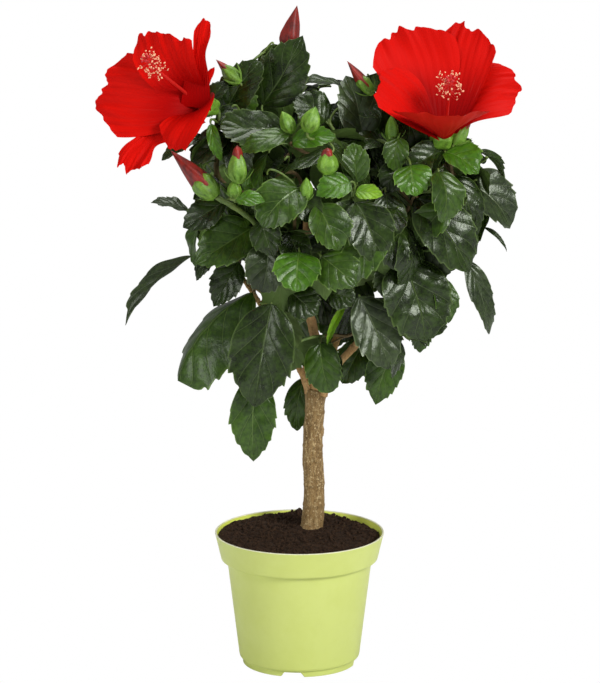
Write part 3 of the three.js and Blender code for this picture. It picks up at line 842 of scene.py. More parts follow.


# The grey tone is a paler, greyer copy of the dark green for leaves that look grey in the light: painted
# light.
LEAF_TONES = {  # dark, light, veins, underside, roughness
    "dark": ((18, 28, 8), (46, 66, 20), (98, 120, 62), (80, 104, 44), 0.27),
    "grey": ((30, 40, 22), (60, 76, 40), (120, 136, 94), (96, 116, 62), 0.30),
    "mid": ((32, 54, 10), (64, 94, 24), (120, 150, 70), (100, 130, 56), 0.30),
    "young": ((48, 84, 10), (76, 122, 22), (136, 172, 78), (116, 152, 60), 0.32),
    "lime": ((86, 130, 14), (124, 168, 28), (168, 198, 84), (146, 176, 68), 0.38),
}
LEAF_LOOKS = {tone: leaf_material("leaf_" + tone, *(srgb(*color) for color in row[:4]), row[4])
              for tone, row in LEAF_TONES.items()}
print("leaf looks:", ", ".join(LEAF_LOOKS))

# %% [markdown]
# ## Open blooms
# Each bloom has five petals, a column of stamens and a green calyx. A petal's centreline is a cubic
# curve that starts along the bloom's axis and ends outwards. Its rows fan out from a narrow claw to a
# broad end; the end is rounded because the rows bend back towards the edges. Ruffles grow towards
# the margin, and fine ribs run from claw to margin.

# %% The petal
def petal(root, tip, start, end, width, face, seed, cup, tilt, ruffle, claw,
          round_by=0.26, rows=64, columns=57, widest=0.75, waist=0.0, ragged=1.0):
    """One petal as a grid (rows, columns, 3) with its (u, v).

    At each step N is the facing direction square to the centreline and B lies across. A point sits at
    centre + B * half width * sin(cup t)/cup + N * (half width (1 - cos(cup t))/cup + ruffles).
    claw is the share of the width at the root, and waist how much the blade narrows on the way.
    """
    root, tip = np.asarray(root, float), np.asarray(tip, float)
    reach = np.linalg.norm(tip - root)
    t = np.linspace(-1, 1, columns)[None, :]
    s = np.linspace(0, 1, rows)[:, None]
    uneven, finer = (noise(np.stack([t[0] * times, t[0] * 0 + seed, t[0] * 0 + layer], -1), 1.0, which)
                     for times, layer, which in ((3.1, 0, 7), (9, 4, 8)))
    end_line = 1 - round_by * np.abs(t) ** 2.6 + ragged * (0.05 * uneven + 0.02 * finer)
    s_here = s * end_line
    p1 = root + unit(start) * reach * 0.42
    p2 = tip - unit(end) * reach * 0.34
    f = s_here[..., None]
    centre = cubic(f, root, p1, p2, tip)
    along = unit((1 - f) ** 2 * (p1 - root) + 2 * f * (1 - f) * (p2 - p1) + f ** 2 * (tip - p2))
    normal = square_to(unit(face), along)
    across = np.cross(along, normal)
    lean = tilt * (0.4 + s_here)[..., None]
    across, normal = (np.cos(lean) * across + np.sin(lean) * normal,
                      np.cos(lean) * normal - np.sin(lean) * across)
    grow = np.clip(s_here / widest, 0, 1)
    half = width / 2 * (claw + (1 - claw) * np.sin(grow * math.pi / 2) ** 1.15)
    half = half * np.sqrt(np.clip(1 - (np.clip(s_here - widest, 0, 1) / 0.62) ** 2, 0.1, 1))
    half = half * (1 - waist * np.exp(-((s_here - 0.62) / 0.16) ** 2))
    bend = cup * (1 - 0.65 * s_here) + 1e-3
    sideways = half * np.sin(bend * t) / bend
    out = half * (1 - np.cos(bend * t)) / bend
    place = np.stack([t * 2.6 + 0 * s_here, s_here * 1.5, 0 * s_here + seed * 3.7], -1)
    slow, quick, crisp = (noise(place * np.array(times), 1.0, which) for times, which in
                          (((1, 1, 1), 21), ((2.7, 2.2, 1), 22), ((5.5, 3.0, 1), 23)))
    near_edge = s_here ** 3 + 0.35 * np.abs(t) ** 5 * s_here
    out = out + ruffle * (near_edge * (1.0 * slow + 0.55 * quick) + near_edge ** 2 * 0.3 * crisp)
    ribs = np.sin(t * 34 + 2.2 * slow) * 0.16 * np.sin(math.pi * np.clip(s_here, 0, 1)) ** 0.5
    grid = centre + across * sideways[..., None] + normal * (out + ribs)[..., None]
    uv = np.stack([0.5 + 0.5 * t + 0 * s_here, s + 0 * t], -1)
    return grid, uv


# %% Bloom sizes and petals
LEFT_CALYX = np.array([-76.0, -24, 505])
LEFT_THROAT = np.array([-97.0, -48, 521])
LEFT_WAY = unit([-0.7, -0.66, 0.26])
RIGHT_CALYX = np.array([123.0, -28, 476])
RIGHT_THROAT = np.array([126.0, -44, 498])
RIGHT_WAY = unit([0.05, -0.45, 0.88])
PETALS = {  # root, tip, ways it starts and ends, width, face, seed, cup, tilt, ruffle, claw, what differs
    "bloom_left": [
        ((-88, -38, 511), (-170, -24, 517), (-0.75, -0.65, 0.1), (-0.8, 0.4, 0.0), 74, (-0.35, -0.9, 0.15),
         1, 0.5, -0.12, 6, 0.42, dict(ragged=1.7, round_by=0.22)),
        ((-86, -38, 516), (-119, -57, 576), (-0.6, -0.6, 0.5), (-0.1, 0.1, 1), 64, (-0.35, -0.9, -0.1),
         2, 0.5, 0.12, 6, 0.42, dict(widest=0.85, round_by=0.2, ragged=1.9)),
        ((-88, -46, 508), (-79, -62, 586), (0.05, -0.3, 0.95), (0.3, 0.1, 1), 16, (-0.15, -1, 0.1),
         3, 0.3, 0.1, 1.4, 1.7, dict(round_by=0.14, waist=0.32, widest=0.85, ragged=0.3)),
        ((-82, -42, 508), (-106, -84, 478), (-0.05, -0.95, 0.2), (-0.1, 0.2, -0.95), 54, (-0.6, -0.5, 0.6),
         4, 0.45, 0.0, 3, 0.52, dict(round_by=0.3)),
        ((-90, -38, 506), (-144, -70, 459), (-0.75, -0.35, -0.35), (-0.35, -0.4, -0.8),
         36, (-0.3, -0.85, 0.3), 5, 0.3, -0.15, 6, 1.0,
         dict(round_by=0.02, waist=0.42, widest=0.95, ragged=1.5)),
        ((-84, -47, 517), (-73, -46, 542), (0.1, -0.2, 0.9), (0.6, 0.0, 0.8), 9, (-0.3, -1, 0.1),
         11, 0.3, 0.2, 1, 1.6, dict(round_by=0.5, rows=24, columns=15)),
    ],
    "bloom_right": [
        ((119, -32, 485), (87, 4, 569), (-0.35, -0.15, 0.9), (-0.5, 0.2, 0.8), 80, (0.25, -0.9, 0.3),
         6, 0.45, 0.08, 4, 0.26, dict(ragged=1.3)),
        ((128, -32, 485), (147, 4, 571), (0.2, -0.15, 0.95), (0.35, 0.2, 0.9), 66, (-0.25, -0.9, 0.3),
         7, 0.45, 0.1, 4.5, 0.3, dict()),
        ((129, -30, 489), (188, -33, 522), (0.35, -0.25, 0.9), (0.97, 0.05, -0.05), 60, (-0.25, -0.8, 0.6),
         8, 0.3, 0.1, 4.5, 0.4, dict(round_by=0.22)),
        ((123, -42, 481), (119, -92, 510), (0.0, -0.85, 0.5), (-0.05, -0.7, 0.5), 88, (0, 0.55, 0.85),
         9, 0.8, 0.04, 2.5, 0.16, dict(round_by=0.16, widest=0.95)),
        ((119, -38, 482), (67, -46, 531), (-0.6, -0.45, 0.65), (-0.85, -0.05, 0.5), 62, (0.35, -0.5, 0.8),
         10, 0.45, 0.08, 3, 0.26, dict(round_by=0.2)),
    ],
}


def petal_material(name, throat_red_and_shade, blade_red, back_red):
    """Red petal: deeper red towards the throat, partly its own and partly painted shade, fine darker ribs,
    paler behind.
    """
    look, tree, shader = material(name, blade_red[:3], 0.55, IOR=1.36, Specular_IOR_Level=0.1)
    petal_uv = node(tree, "ShaderNodeUVMap", uv_map="leaf_uv").outputs[0]
    rise = separate(tree, petal_uv)[1]
    # Deeper red towards the throat: partly the petal's own darker centre, partly painted shade far up the
    # bowl.
    red = blend(tree, smooth(tree, rise, 0.18, 0.72), throat_red_and_shade, blade_red)
    place = node(tree, "ShaderNodeMapping", {"Vector": petal_uv, "Scale": (34, 1.7, 1)}).outputs[0]
    stripe = node(tree, "ShaderNodeTexNoise", {"Vector": place, "Scale": 1.0, "Detail": 3.0}).outputs[0]
    pale_band = maths(tree, "MULTIPLY", smooth(tree, rise, 0.3, 0.4), smooth(tree, rise, 0.44, 0.66, 1, 0))
    pale = maths(tree, "MULTIPLY", pale_band, smooth(tree, stripe, 0.56, 0.72))
    behind = node(tree, "ShaderNodeNewGeometry").outputs["Backfacing"]
    for mask, share, color in ((smooth(tree, stripe, 0.38, 0.66), 0.22, srgb(176, 4, 3)),
                               (pale, 0.1, srgb(236, 110, 100)), (behind, 0.6, back_red)):
        red = blend(tree, maths(tree, "MULTIPLY", mask, share), red, color)
    coat(tree, shader, red, bump=(0.4, 0.0007, stripe))
    return look


# Both blooms are the same red; the right bloom's copy is painted darker throughout: painted light.
PETAL_LOOKS = {
    "bloom_left": petal_material("petal_red", srgb(168, 3, 3), srgb(216, 14, 4), srgb(206, 30, 16)),
    "bloom_right": petal_material("petal_red_painted_darker", srgb(140, 2, 3), srgb(198, 12, 4), srgb(190, 32, 20)),
}


def throat_cup(calyx, throat, share, width):
    """A short closed body deep in the throat, which the petals' claws wrap round: (grid, uv)."""
    rings, sides = 20, 28
    f = np.linspace(0.1, share, rings)
    radii = width / 2 * np.interp(np.linspace(0, 1, rings), [0, 0.1, 0.5, 0.9, 1], [0, 0.45, 0.8, 1, 0])
    grid = tubes((calyx + (throat - calyx) * f[:, None])[None], radii[None], sides)[0]
    grid = np.concatenate([grid, grid[:, :1]], 1)
    uv = np.stack(np.broadcast_arrays(np.linspace(0, 1, sides + 1)[None, :], 0.16 * f[:, None]), -1)
    return grid, uv


CUPS = {"bloom_left": (LEFT_CALYX, LEFT_THROAT, 0.62, 17),
        "bloom_right": (RIGHT_CALYX, RIGHT_THROAT, 0.7, 20)}
petal_points = []
for bloom_name, sheets in PETALS.items():
    made = [petal(*sheet[:-1], **sheet[-1]) for sheet in sheets]
    petal_points += [grid.reshape(-1, 3) for grid, _ in made]
    made.append(throat_cup(*CUPS[bloom_name]))
    blade_piece("petals_" + bloom_name[6:], [(grid[None], uv[None]) for grid, uv in made],
                PETAL_LOOKS[bloom_name], "bloom", (bloom_name,))

# %% [markdown]
# ## Stamens, calyx and buds
# The column leaves the throat along the axis. Its outer part carries many short filaments with a
# small two-lobed anther each, and it ends in five stigma pads. A bud is a ribbed green cup that
# opens on a rolled tip of dark red petals, above a ring of narrow bracts.

# %% Stamen columns
FILAMENTS = 64
STIGMA_PADS = 5
STAMEN_ASIDE = (0.3, 0.2, 1)


def stamens(throat, end, spread, seed):
    """Column, filaments and styles in one mesh, with the places of the anthers and stigma pads."""
    rng = np.random.default_rng(seed)
    throat, end = np.asarray(throat, float), np.asarray(end, float)
    way = unit(end - throat)
    path = bezier(throat - way * 8, throat + way * 8, end - way * 12 - np.array([0, 0, 2.0]), end, 30)
    radii = np.interp(np.linspace(0, 1, 30), [0, 0.6, 0.97, 1], [1.7, 1.2, 0.9, 0])
    column = many(tubes(path[None], radii[None], 10), around=True)
    place = rng.uniform(0.66, 1.0, FILAMENTS)
    foot = throat + (end - throat) * place[:, None]
    out = spokes(way, rng.uniform(0, 2 * math.pi, FILAMENTS), STAMEN_ASIDE)
    long = spread * rng.uniform(0.55, 1.0, FILAMENTS)[:, None]
    head = foot + out * long + way * rng.uniform(0.0, 0.55, FILAMENTS)[:, None] * spread
    lines = bezier(foot, foot + out * long * 0.5, head - way * 2, head, 6)
    filaments = many(tubes(lines, np.full((1, 6), 0.2), 5), around=True)
    pads_way = spokes(way, np.arange(STIGMA_PADS) * 1.257, STAMEN_ASIDE)
    pads_at = end + way * 4 + pads_way * 3.4
    pad_lines = bezier(np.repeat(end[None], STIGMA_PADS, 0), end + way * 3 + pads_way * 0.5, pads_at - way,
                       pads_at, 6)
    styles = many(tubes(pad_lines, np.full((1, 6), 0.45), 6), around=True)
    return gather([column, filaments, styles]), head, pads_at


columns, anthers, pads = zip(stamens(LEFT_THROAT, (-128, -86, 555), 10.5, 5),
                             stamens(RIGHT_THROAT, (128, -70, 534), 12, 6))
column_look, anther_look, pad_look = (
    material(name, srgb(*color)[:3], roughness)[0] for name, color, roughness in
    (("stamen_column", (205, 26, 18), 0.5), ("anthers", (246, 190, 150), 0.7),
     ("stigma_pads", (196, 30, 40), 0.6)))
piece("stamen_columns", *gather(columns), column_look, "bloom")
anthers = np.concatenate(anthers)
anthers = np.concatenate([anthers, anthers + draw.normal(0, 0.7, anthers.shape)])  # in pairs
piece("anthers", *stones(anthers, draw.uniform(0.6, 0.95, len(anthers)), 0.7, 0.15), anther_look, "bloom",
      weld=False)
pads = np.concatenate(pads)
piece("stigma_pads", *stones(pads, np.full(len(pads), 1.5), 0.85, 0.08), pad_look, "bloom", weld=False)


# %% Buds and calyces
BRACT_COUNT = 8


def ribbed(base, tip, width, profile, ribs=5, depth=0.09, swirl=0.0, rows=26, sides=40):
    """A closed ribbed body: radius = width/2 * profile * (1 + depth cos(ribs a + swirl s))."""
    base, tip = np.asarray(base, float), np.asarray(tip, float)
    s = np.linspace(0, 1, rows)
    line = base + (tip - base) * s[:, None]
    radius = width / 2 * np.interp(s, np.linspace(0, 1, len(profile)), profile)
    grid = tubes(line[None], radius[None], sides)[0]
    rib = 1 + depth * np.cos(ribs * circle(sides) + swirl * s[:, None])
    return line[:, None] + (grid - line[:, None]) * rib[..., None]


def bracts(base, way, length, spread, width, seed):
    """A ring of narrow curved bracts round a bud's foot, as one blade table."""
    rng = np.random.default_rng(seed)
    way = unit(way)
    n = BRACT_COUNT
    turn = np.arange(n) * 2 * math.pi / n + rng.uniform(-0.2, 0.2, n)
    out = spokes(way, turn, (0.31, 0.17, 0.9))
    foot = np.asarray(base, float) + out * 1.6
    tip = foot + unit(out * spread + way) * (length * rng.uniform(0.85, 1.15, n))[:, None]
    alike = dict(width=width, curl=-0.9, fold=0.35, droop=0, ripple=0, waves=1, pleats=0, widest=0.35,
                 sharp=0.9, sway=0, pucker=0)
    table = {key: np.full(n, float(value)) for key, value in alike.items()}
    return dict(table, base=foot, tip=tip, face=unit(way - out * 0.6), twist=rng.uniform(-0.3, 0.3, n),
                phase=rng.uniform(0, 1, n))


# Widths along a body, from its foot to its tip, as shares of the full width.
CALYX = (0.42, 0.82, 1.0, 1.0, 0.92, 0.72, 0.42, 0.0)
CUP = (0.4, 0.8, 0.98, 1.04, 1.08, 1.12, 1.0, 0.6)
PETAL_TIP = (0.75, 1.0, 1.0, 0.86, 0.7, 0.48, 0.26, 0.0)
CLOSED_TIP = (0.75, 1.0, 1.0, 0.95, 0.92, 0.86, 0.66, 0.0)
BUDS = [  # foot, tip, width, share of the length in the calyx (1: no red shows); no bracts on the first
    ((-11, 24, 545), (-2, 26, 586), 19, 0.12), ((-51, -14, 524), (-72, -10, 544), 15, 0.8),
    ((63, -12, 513), (41, -4, 542), 13, 0.5), ((-71, -51, 431), (-111, -40, 470), 20, 0.42),
    ((-52, -72, 447), (-53, -72, 480), 17, 0.9), ((-55, -70, 434), (-56, -72, 450), 12, 1),
    ((-6, -46, 486), (-15, -46, 505), 13, 1), ((7, -60, 489), (14, -58, 511), 16, 1),
    ((24, -84, 457), (24, -84, 480), 19, 0.92), ((6, -86, 435), (6, -88, 455), 11, 1),
    ((80, -34, 476), (79, -36, 500), 11, 1), ((133, -34, 474), (149, -30, 497), 13, 0.8),
]
OPEN_BELOW, CLOSED_ABOVE = 0.6, 0.85  # shares of calyx that part open, half-shut and shut buds
green_bodies, red_bodies, bract_sets, stems_to = [], [], [], []
for number, (base, tip, width, calyx) in enumerate(BUDS):
    base, tip = np.array(base, float), np.array(tip, float)
    way = tip - base
    is_open = calyx < OPEN_BELOW
    if calyx < 1:
        green_bodies.append(ribbed(base, base + way * calyx, width * 0.92, CUP if is_open else CALYX))
        red_foot, slim = (0.12, 0.86) if is_open else (0.35, 0.55)
        red_bodies.append(ribbed(base + way * red_foot, tip, width * slim,
                                 PETAL_TIP if calyx < CLOSED_ABOVE else CLOSED_TIP, 3, 0.14, 2.6))
    else:
        green_bodies.append(ribbed(base, tip, width, CALYX))
    if number > 0:
        length = min(max(0.62 * np.linalg.norm(way), 11), 18)
        bract_sets.append(bracts(base, way, length, 0.95, 2.9, number))
    stems_to.append((base, unit(way), 1.3))
for foot, way, cup_width in ((LEFT_CALYX, LEFT_WAY, 17), (RIGHT_CALYX, RIGHT_WAY, 19)):
    green_bodies.append(ribbed(foot - way * 7, foot + way * 13, cup_width, CUP, depth=0.12))
    bract_sets.append(bracts(foot - way * 4, way, 15, 1.0, 2.8, 77))
    stems_to.append((foot - way * 5, way, 1.7))

bud_green = two_tone("bud_green", srgb(96, 150, 44)[:3], 0.45, (160,), (76, 118, 24), (126, 168, 56))
bud_red = two_tone("bud_red", srgb(150, 30, 26)[:3], 0.5, (200, 0.4, (1, 1, 0.3)), (84, 18, 12),
                   (158, 36, 22))
piece("bud_greens", *many(np.stack(green_bodies), around=True), bud_green, "bud",
      ("bud_top", "bud_left", "bud_upper_left", "bud_upper_right"))
piece("bud_reds", *many(np.stack(red_bodies), around=True), bud_red, "bloom")
bract_table = {key: np.concatenate([b[key] for b in bract_sets]) for key in bract_sets[0]}
blade_piece("bracts", [blades(bract_table, 1, 10, 5, 0.0)], LEAF_LOOKS["young"], "bud")

# %% [markdown]
# ## The leading leaves
# These are the leaves that give the front of the crown its character, each with its own place. A
# row is: base, tip, width as seen, tone, and how it differs from the usual pose. The usual pose
# faces outwards, a little up and a little to the front, with a gentle arch.

# %% Leading leaves
def bends(n, **spans):
    """Random bends of n blades: one number for each, between the two values given."""
    return {key: draw.uniform(*span, n) for key, span in spans.items()}


LEADING = [
    ((-93, -10, 371), (-152, -20, 311), 32, "grey", dict(face=(-6, -3.5, 7.5), fold=0.55, curl=0.7)),
    ((-41, -25, 342), (-106, -38, 266), 72, "mid", dict(face=(-6, -5, 6), fold=-0.3, curl=0.8, sharp=0.34,
                                                       widest=0.6)),
    ((-24, -62, 340), (-39, -70, 250), 61, "dark", dict(face=(-1, -9, 2.5), curl=0.35, widest=0.42)),
    ((-38, -50, 277), (-40, -52, 197), 41, "mid", dict(face=(1, -9, 2), curl=0.5, widest=0.45)),
    ((4, 45, 249), (-2, 45, 200), 24, "mid"),
    ((18, -28, 297), (26, -34, 254), 33, "mid", dict(face=(0, -9, 2), sharp=0.55)),
    ((57, 26, 286), (38, 22, 249), 34, "mid"),
    ((83, -8, 288), (67, -12, 238), 35, "mid"),
    ((52, -42, 342), (78, -50, 279), 44, "grey"),
    ((90, -45, 372), (109, -52, 305), 62, "dark", dict(face=(2, -9, 2), curl=0.5, sharp=0.62)),
    ((103, -30, 318), (105, -30, 289), 19, "mid"),
    ((146, 2, 365), (167, -2, 300), 28, "grey", dict(face=(5, -8, 2), twist=1.2, sharp=0.42, widest=0.6)),
    ((136, -4, 439), (184, 2, 393), 48, "grey", dict(face=(5, -7, 5), curl=1.1)),
    ((156, 10, 460), (178, 10, 433), 26, "dark", dict(face=(8, -1.5, 6), fold=0.6)),
    ((161, 2, 394), (181, 2, 372), 7, "grey", dict(fold=0.9)),
    ((102, -42, 429), (147, -50, 365), 54, "dark", dict(face=(3, -8, 3))),
    ((119, -56, 454), (122, -64, 411), 31, "mid"),
    ((126, -34, 467), (154, -44, 450), 30, "young"),
    ((95, -58, 460), (100, -68, 435), 35, "young", dict(widest=0.35)),
    ((124, -30, 468), (93, -42, 451), 32, "dark", dict(fold=0.4)),
    ((54, -18, 478), (40, -4, 529), 40, "grey"),
    ((-32, 4, 502), (3, 10, 562), 50, "dark", dict(face=(-2, -9, 3), curl=0.4)),
    ((-64, -6, 495), (-33, -10, 542), 36, "dark", dict(face=(-3, -9, 2), sharp=0.5)),
    ((-14, -34, 488), (-68, -44, 491), 38, "dark", dict(face=(-1, -7, 6), sharp=0.55, curl=0.3)),
    ((-8, -48, 487), (-52, -58, 472), 24, "mid", dict(face=(-1, -6, 7))),
    ((-6, -52, 479), (31, -58, 485), 24, "young", dict(face=(1, -7, 6))),
    ((23, -18, 491), (-3, -10, 512), 33, "dark"),
    ((38, 6, 517), (-3, 0, 519), 24, "dark", dict(face=(0, -1.5, 9), fold=0.3)),
    ((23, -4, 499), (40, -10, 478), 13, "dark"),
    ((49, -62, 446), (45, -54, 479), 25, "mid"),
    ((43, -82, 450), (14, -92, 440), 27, "young", dict(face=(0, -7, 6))),
    ((48, -78, 441), (71, -84, 439), 16, "lime", dict(face=(1, -7, 6))),
    ((0, -84, 445), (-32, -96, 414), 44, "mid", dict(face=(-2, -8, 4))),
    ((15, -88, 432), (34, -98, 394), 38, "mid"),
    ((48, -78, 432), (67, -90, 381), 44, "dark"),
    ((74, -50, 435), (79, -58, 394), 31, "dark"),
    ((79, -56, 405), (85, -62, 368), 28, "dark"),
    ((82, -40, 374), (73, -44, 341), 31, "grey"),
    ((-32, -72, 415), (-22, -78, 384), 28, "dark"),
    ((-27, -62, 392), (-32, -68, 351), 40, "grey"),
    ((0, -86, 390), (-2, -108, 360), 42, "young", dict(face=(0, -5, 8))),
    ((19, -84, 386), (49, -94, 362), 38, "mid"),
    ((40, -30, 332), (24, -36, 297), 10, "lime", dict(fold=0.8)),
    ((-41, -34, 401), (-90, -40, 370), 47, "mid", dict(face=(-3, -8, 4))),
    ((-63, -26, 424), (-101, -24, 399), 27, "dark"),
    ((-53, -14, 367), (-75, -16, 327), 30, "dark"),
    ((-73, -8, 380), (-90, -10, 349), 15, "dark"),
    ((-54, -92, 436), (-29, -98, 436), 16, "young", dict(face=(0, -7, 6))),
    ((-48, -50, 437), (-35, -54, 448), 14, "young"),
    ((-97, 8, 407), (-130, 8, 415), 24, "grey", dict(face=(-1, -2.6, 9), fold=0.35)),
    ((-76, -16, 504), (-61, -12, 525), 15, "dark"),
    ((-76, -40, 493), (-67, -42, 461), 12, "young"),
    ((-63, -24, 480), (-94, -26, 454), 27, "grey"),
    ((-81, -14, 478), (-119, -24, 458), 14, "dark"),
    ((85, -40, 481), (81, -46, 453), 23, "mid"),
    ((71, -20, 474), (31, -26, 469), 24, "dark"),
    ((88, -36, 457), (73, -44, 434), 26, "dark"),
    ((120, -16, 475), (94, -10, 491), 23, "dark"),
    ((132, -26, 445), (154, -30, 393), 31, "dark"),
    ((-18, -34, 334), (5, -38, 319), 24, "mid"),
    ((-8, -50, 348), (16, -56, 329), 31, "dark"),
    ((26, -40, 345), (49, -48, 340), 26, "dark"),
    ((18, 34, 350), (27, 36, 296), 40, "dark"),
    ((50, 30, 344), (41, 30, 286), 40, "dark"),
    ((2, 36, 344), (-6, 34, 296), 36, "dark"),
    ((30, 44, 330), (32, 42, 276), 38, "mid"),
    ((-2, 30, 338), (8, 30, 282), 36, "mid"),
    ((44, 38, 336), (50, 36, 280), 38, "dark"),
]
CROWN_MIDDLE = np.array([12.0, 22, 390])


def leading_table(rows):
    """Turns the list into blade arrays; a width as seen is divided by how square it is to the view."""
    base, tip, seen_width = (np.array([row[k] for row in rows], float) for k in range(3))
    extras = [row[4] if len(row) > 4 else {} for row in rows]
    stated = np.array(["face" in extra for extra in extras])
    usual = 0.45 * unit((base + tip) / 2 - CROWN_MIDDLE) + 0.7 * VIEW_BACK + np.array([0, 0, 0.42])
    usual = usual + draw.normal(0, 0.13, usual.shape)
    face = np.array([extra.get("face", f) for extra, f in zip(extras, usual)], float)
    along = unit(tip - base)
    across = np.cross(along, square_to(face, along))
    share = np.sqrt(np.clip(1 - (across @ VIEW_BACK) ** 2, 0.5, 1))
    width = seen_width / np.where(stated, 1, share)
    values = bends(len(rows), curl=(0.5, 1.1), fold=(0.12, 0.42), droop=(0.05, 0.22), twist=(-0.3, 0.3),
                   ripple=(0.02, 0.05), waves=(1.6, 2.6), pleats=(0.010, 0.026), widest=(0.36, 0.46),
                   sharp=(0.8, 1.05), phase=(0, 1), sway=(-0.05, 0.05), pucker=(0.7, 1.5))
    for key in values:
        values[key] = np.array([extra.get(key, value) for extra, value in zip(extras, values[key])])
    return dict(base=base, tip=tip, face=face, width=width, **values)


leading = leading_table(LEADING)
leading_grids, leading_uv = blades(leading, 8, 6, 19, 0.046)
print("leading leaves:", len(LEADING))

# %% [markdown]
# ## The rest of the crown
# Each mass of the model becomes a spray of leaves. Spots are drawn at random on the masses' open
# surfaces and thinned to an even spacing; each takes a leaf that hangs outwards and down. A leaf is
# kept when it stays inside the masses' outline, lies behind the leading leaves and petals as seen
# from the front, and leaves a few open spots free. A second, darker layer sits further in.

# %% Surfaces of the model's masses
def model_surface(names):
    """Corner points (n, 3, 3) of the model's triangles for the named nodes, in millimetres."""
    found = []
    for name in names:
        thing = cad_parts[name]
        mesh = thing.data
        mesh.calc_loop_triangles()
        corners = np.empty(len(mesh.vertices) * 3)
        mesh.vertices.foreach_get("co", corners)
        place = np.array(thing.matrix_world)
        corners = corners.reshape(-1, 3) @ place[:3, :3].T + place[:3, 3]
        index = np.empty(len(mesh.loop_triangles) * 3, np.int32)
        mesh.loop_triangles.foreach_get("vertices", index)
        found.append(from_frame(corners)[index.reshape(-1, 3)])
    return np.concatenate(found)


def solid(triangles):
    """The triangles (n, 3, 3) as a tree that answers nearest-point and ray questions."""
    return BVHTree.FromPolygons(triangles.reshape(-1, 3).tolist(),
                                np.arange(len(triangles) * 3).reshape(-1, 3).tolist())


MASSES, LONE_LEAVES, BLOOM_NODES = ([name for name in NODES if name.startswith(kind)]
                                    for kind in ("foliage_", "leaf_", "bloom_"))
surface = model_surface(MASSES)
crown_solid = solid(surface)
outline_solid = solid(model_surface(MASSES + LONE_LEAVES + BLOOM_NODES + ["pot", "trunk"]))
flat = np.cross(surface[:, 1] - surface[:, 0], surface[:, 2] - surface[:, 0])
areas = np.linalg.norm(flat, axis=1) / 2
flat = unit(flat)
print("masses:", len(MASSES), "with", round(areas.sum() / 100), "square cm of skin")

# %% Depth of the front layer
CAMERA_PLACE = CAMERA_AIM + CAMERA_DISTANCE * VIEW_BACK
CELL = 3.0
CELLS = 190
NOTHING_THERE = -1e9
FRONT_CLEARANCE = 4  # how far a seeded leaf stays behind the leading leaves and petals
SPOT_MARGIN = 2.0


def seen_from_front(points):
    """Across, up and nearness of points as the camera sees them, scaled to the plane it aims at."""
    away = np.asarray(points, float) - CAMERA_AIM
    near = away @ VIEW_BACK
    scale = CAMERA_DISTANCE / (CAMERA_DISTANCE - near)
    return away[..., 0] * scale, (away @ VIEW_UP) * scale, near


def cell_of(points):
    """Whole-number cells of the front view."""
    x, y, near = seen_from_front(points)
    column = np.clip((x / CELL).astype(int) + CELLS // 2, 0, CELLS - 1)
    row = np.clip((y / CELL).astype(int) + CELLS // 2, 0, CELLS - 1)
    return row, column, near


front_points = np.concatenate([leading_grids.reshape(-1, 3)] + petal_points)
nearest = np.full((CELLS, CELLS), NOTHING_THERE)
row, column, near = cell_of(front_points)
np.maximum.at(nearest, (row, column), near)
for _ in range(2):
    nearest = np.max([np.roll(nearest, shift, (0, 1)) for shift in
                      ((0, 0), (1, 0), (-1, 0), (0, 1), (0, -1))], axis=0)

# Places that seeded leaves leave open, as seen from the front: gaps of sky, then two on the bare foot
# of the right bough and one over a young leaf. Across, up (in the plane of the stem), and half size.
OPEN_SPOTS = [(-62, 343, 10), (-52, 352, 7), (-69, 510, 6), (32, 505, 4), (40, 479, 3), (-66, 464, 3),
              (-72, 399, 4), (-21, 336, 4), (-42, 333, 5), (-84, 482, 4), (-12, 498, 3), (38, 277, 5),
              (46, 287, 5), (3, 394, 4)]
spot_x, spot_y, _ = seen_from_front(np.array([(x, 0, z) for x, z, _ in OPEN_SPOTS]))
spot_size = np.array([size for _, _, size in OPEN_SPOTS])


# %% The leaf rule
SPOTS_DRAWN = 7000
CLEARANCE = 9.0  # a spot needs this much open air in front of it


def sample_points(base, tip, face, width):
    """Nine places on a leaf: along the midrib and near both edges."""
    across = np.cross(unit(tip - base), unit(face)) * width / 2
    line = [base + (tip - base) * k for k in (0.05, 0.35, 0.7, 1.0)]
    edges = [base + (tip - base) * k + across * side * w for k, w in ((0.3, 0.9), (0.6, 0.75))
             for side in (-1, 1)]
    return np.array(line + edges + [base + (tip - base) * 0.85])


def fits(points, slack):
    """True if a leaf through these places keeps to the crown, the depth map and the open spots."""
    row, column, near = cell_of(points)
    front = nearest[row, column]
    if np.any((near > front - FRONT_CLEARANCE) & (front > NOTHING_THERE / 10)):
        return False
    x, y, _ = seen_from_front(points)
    gap = (x[:, None] - spot_x) ** 2 + (y[:, None] - spot_y) ** 2
    if np.any(gap < (spot_size + SPOT_MARGIN) ** 2):
        return False
    for point in points:
        spot, normal, _, distance = crown_solid.find_nearest(Vector(point))
        if distance > slack and (Vector(point) - spot).dot(normal) > 0:
            return False
        if outline_solid.ray_cast(Vector(CAMERA_PLACE), Vector(unit(point - CAMERA_PLACE)))[0] is None:
            return False
    return True


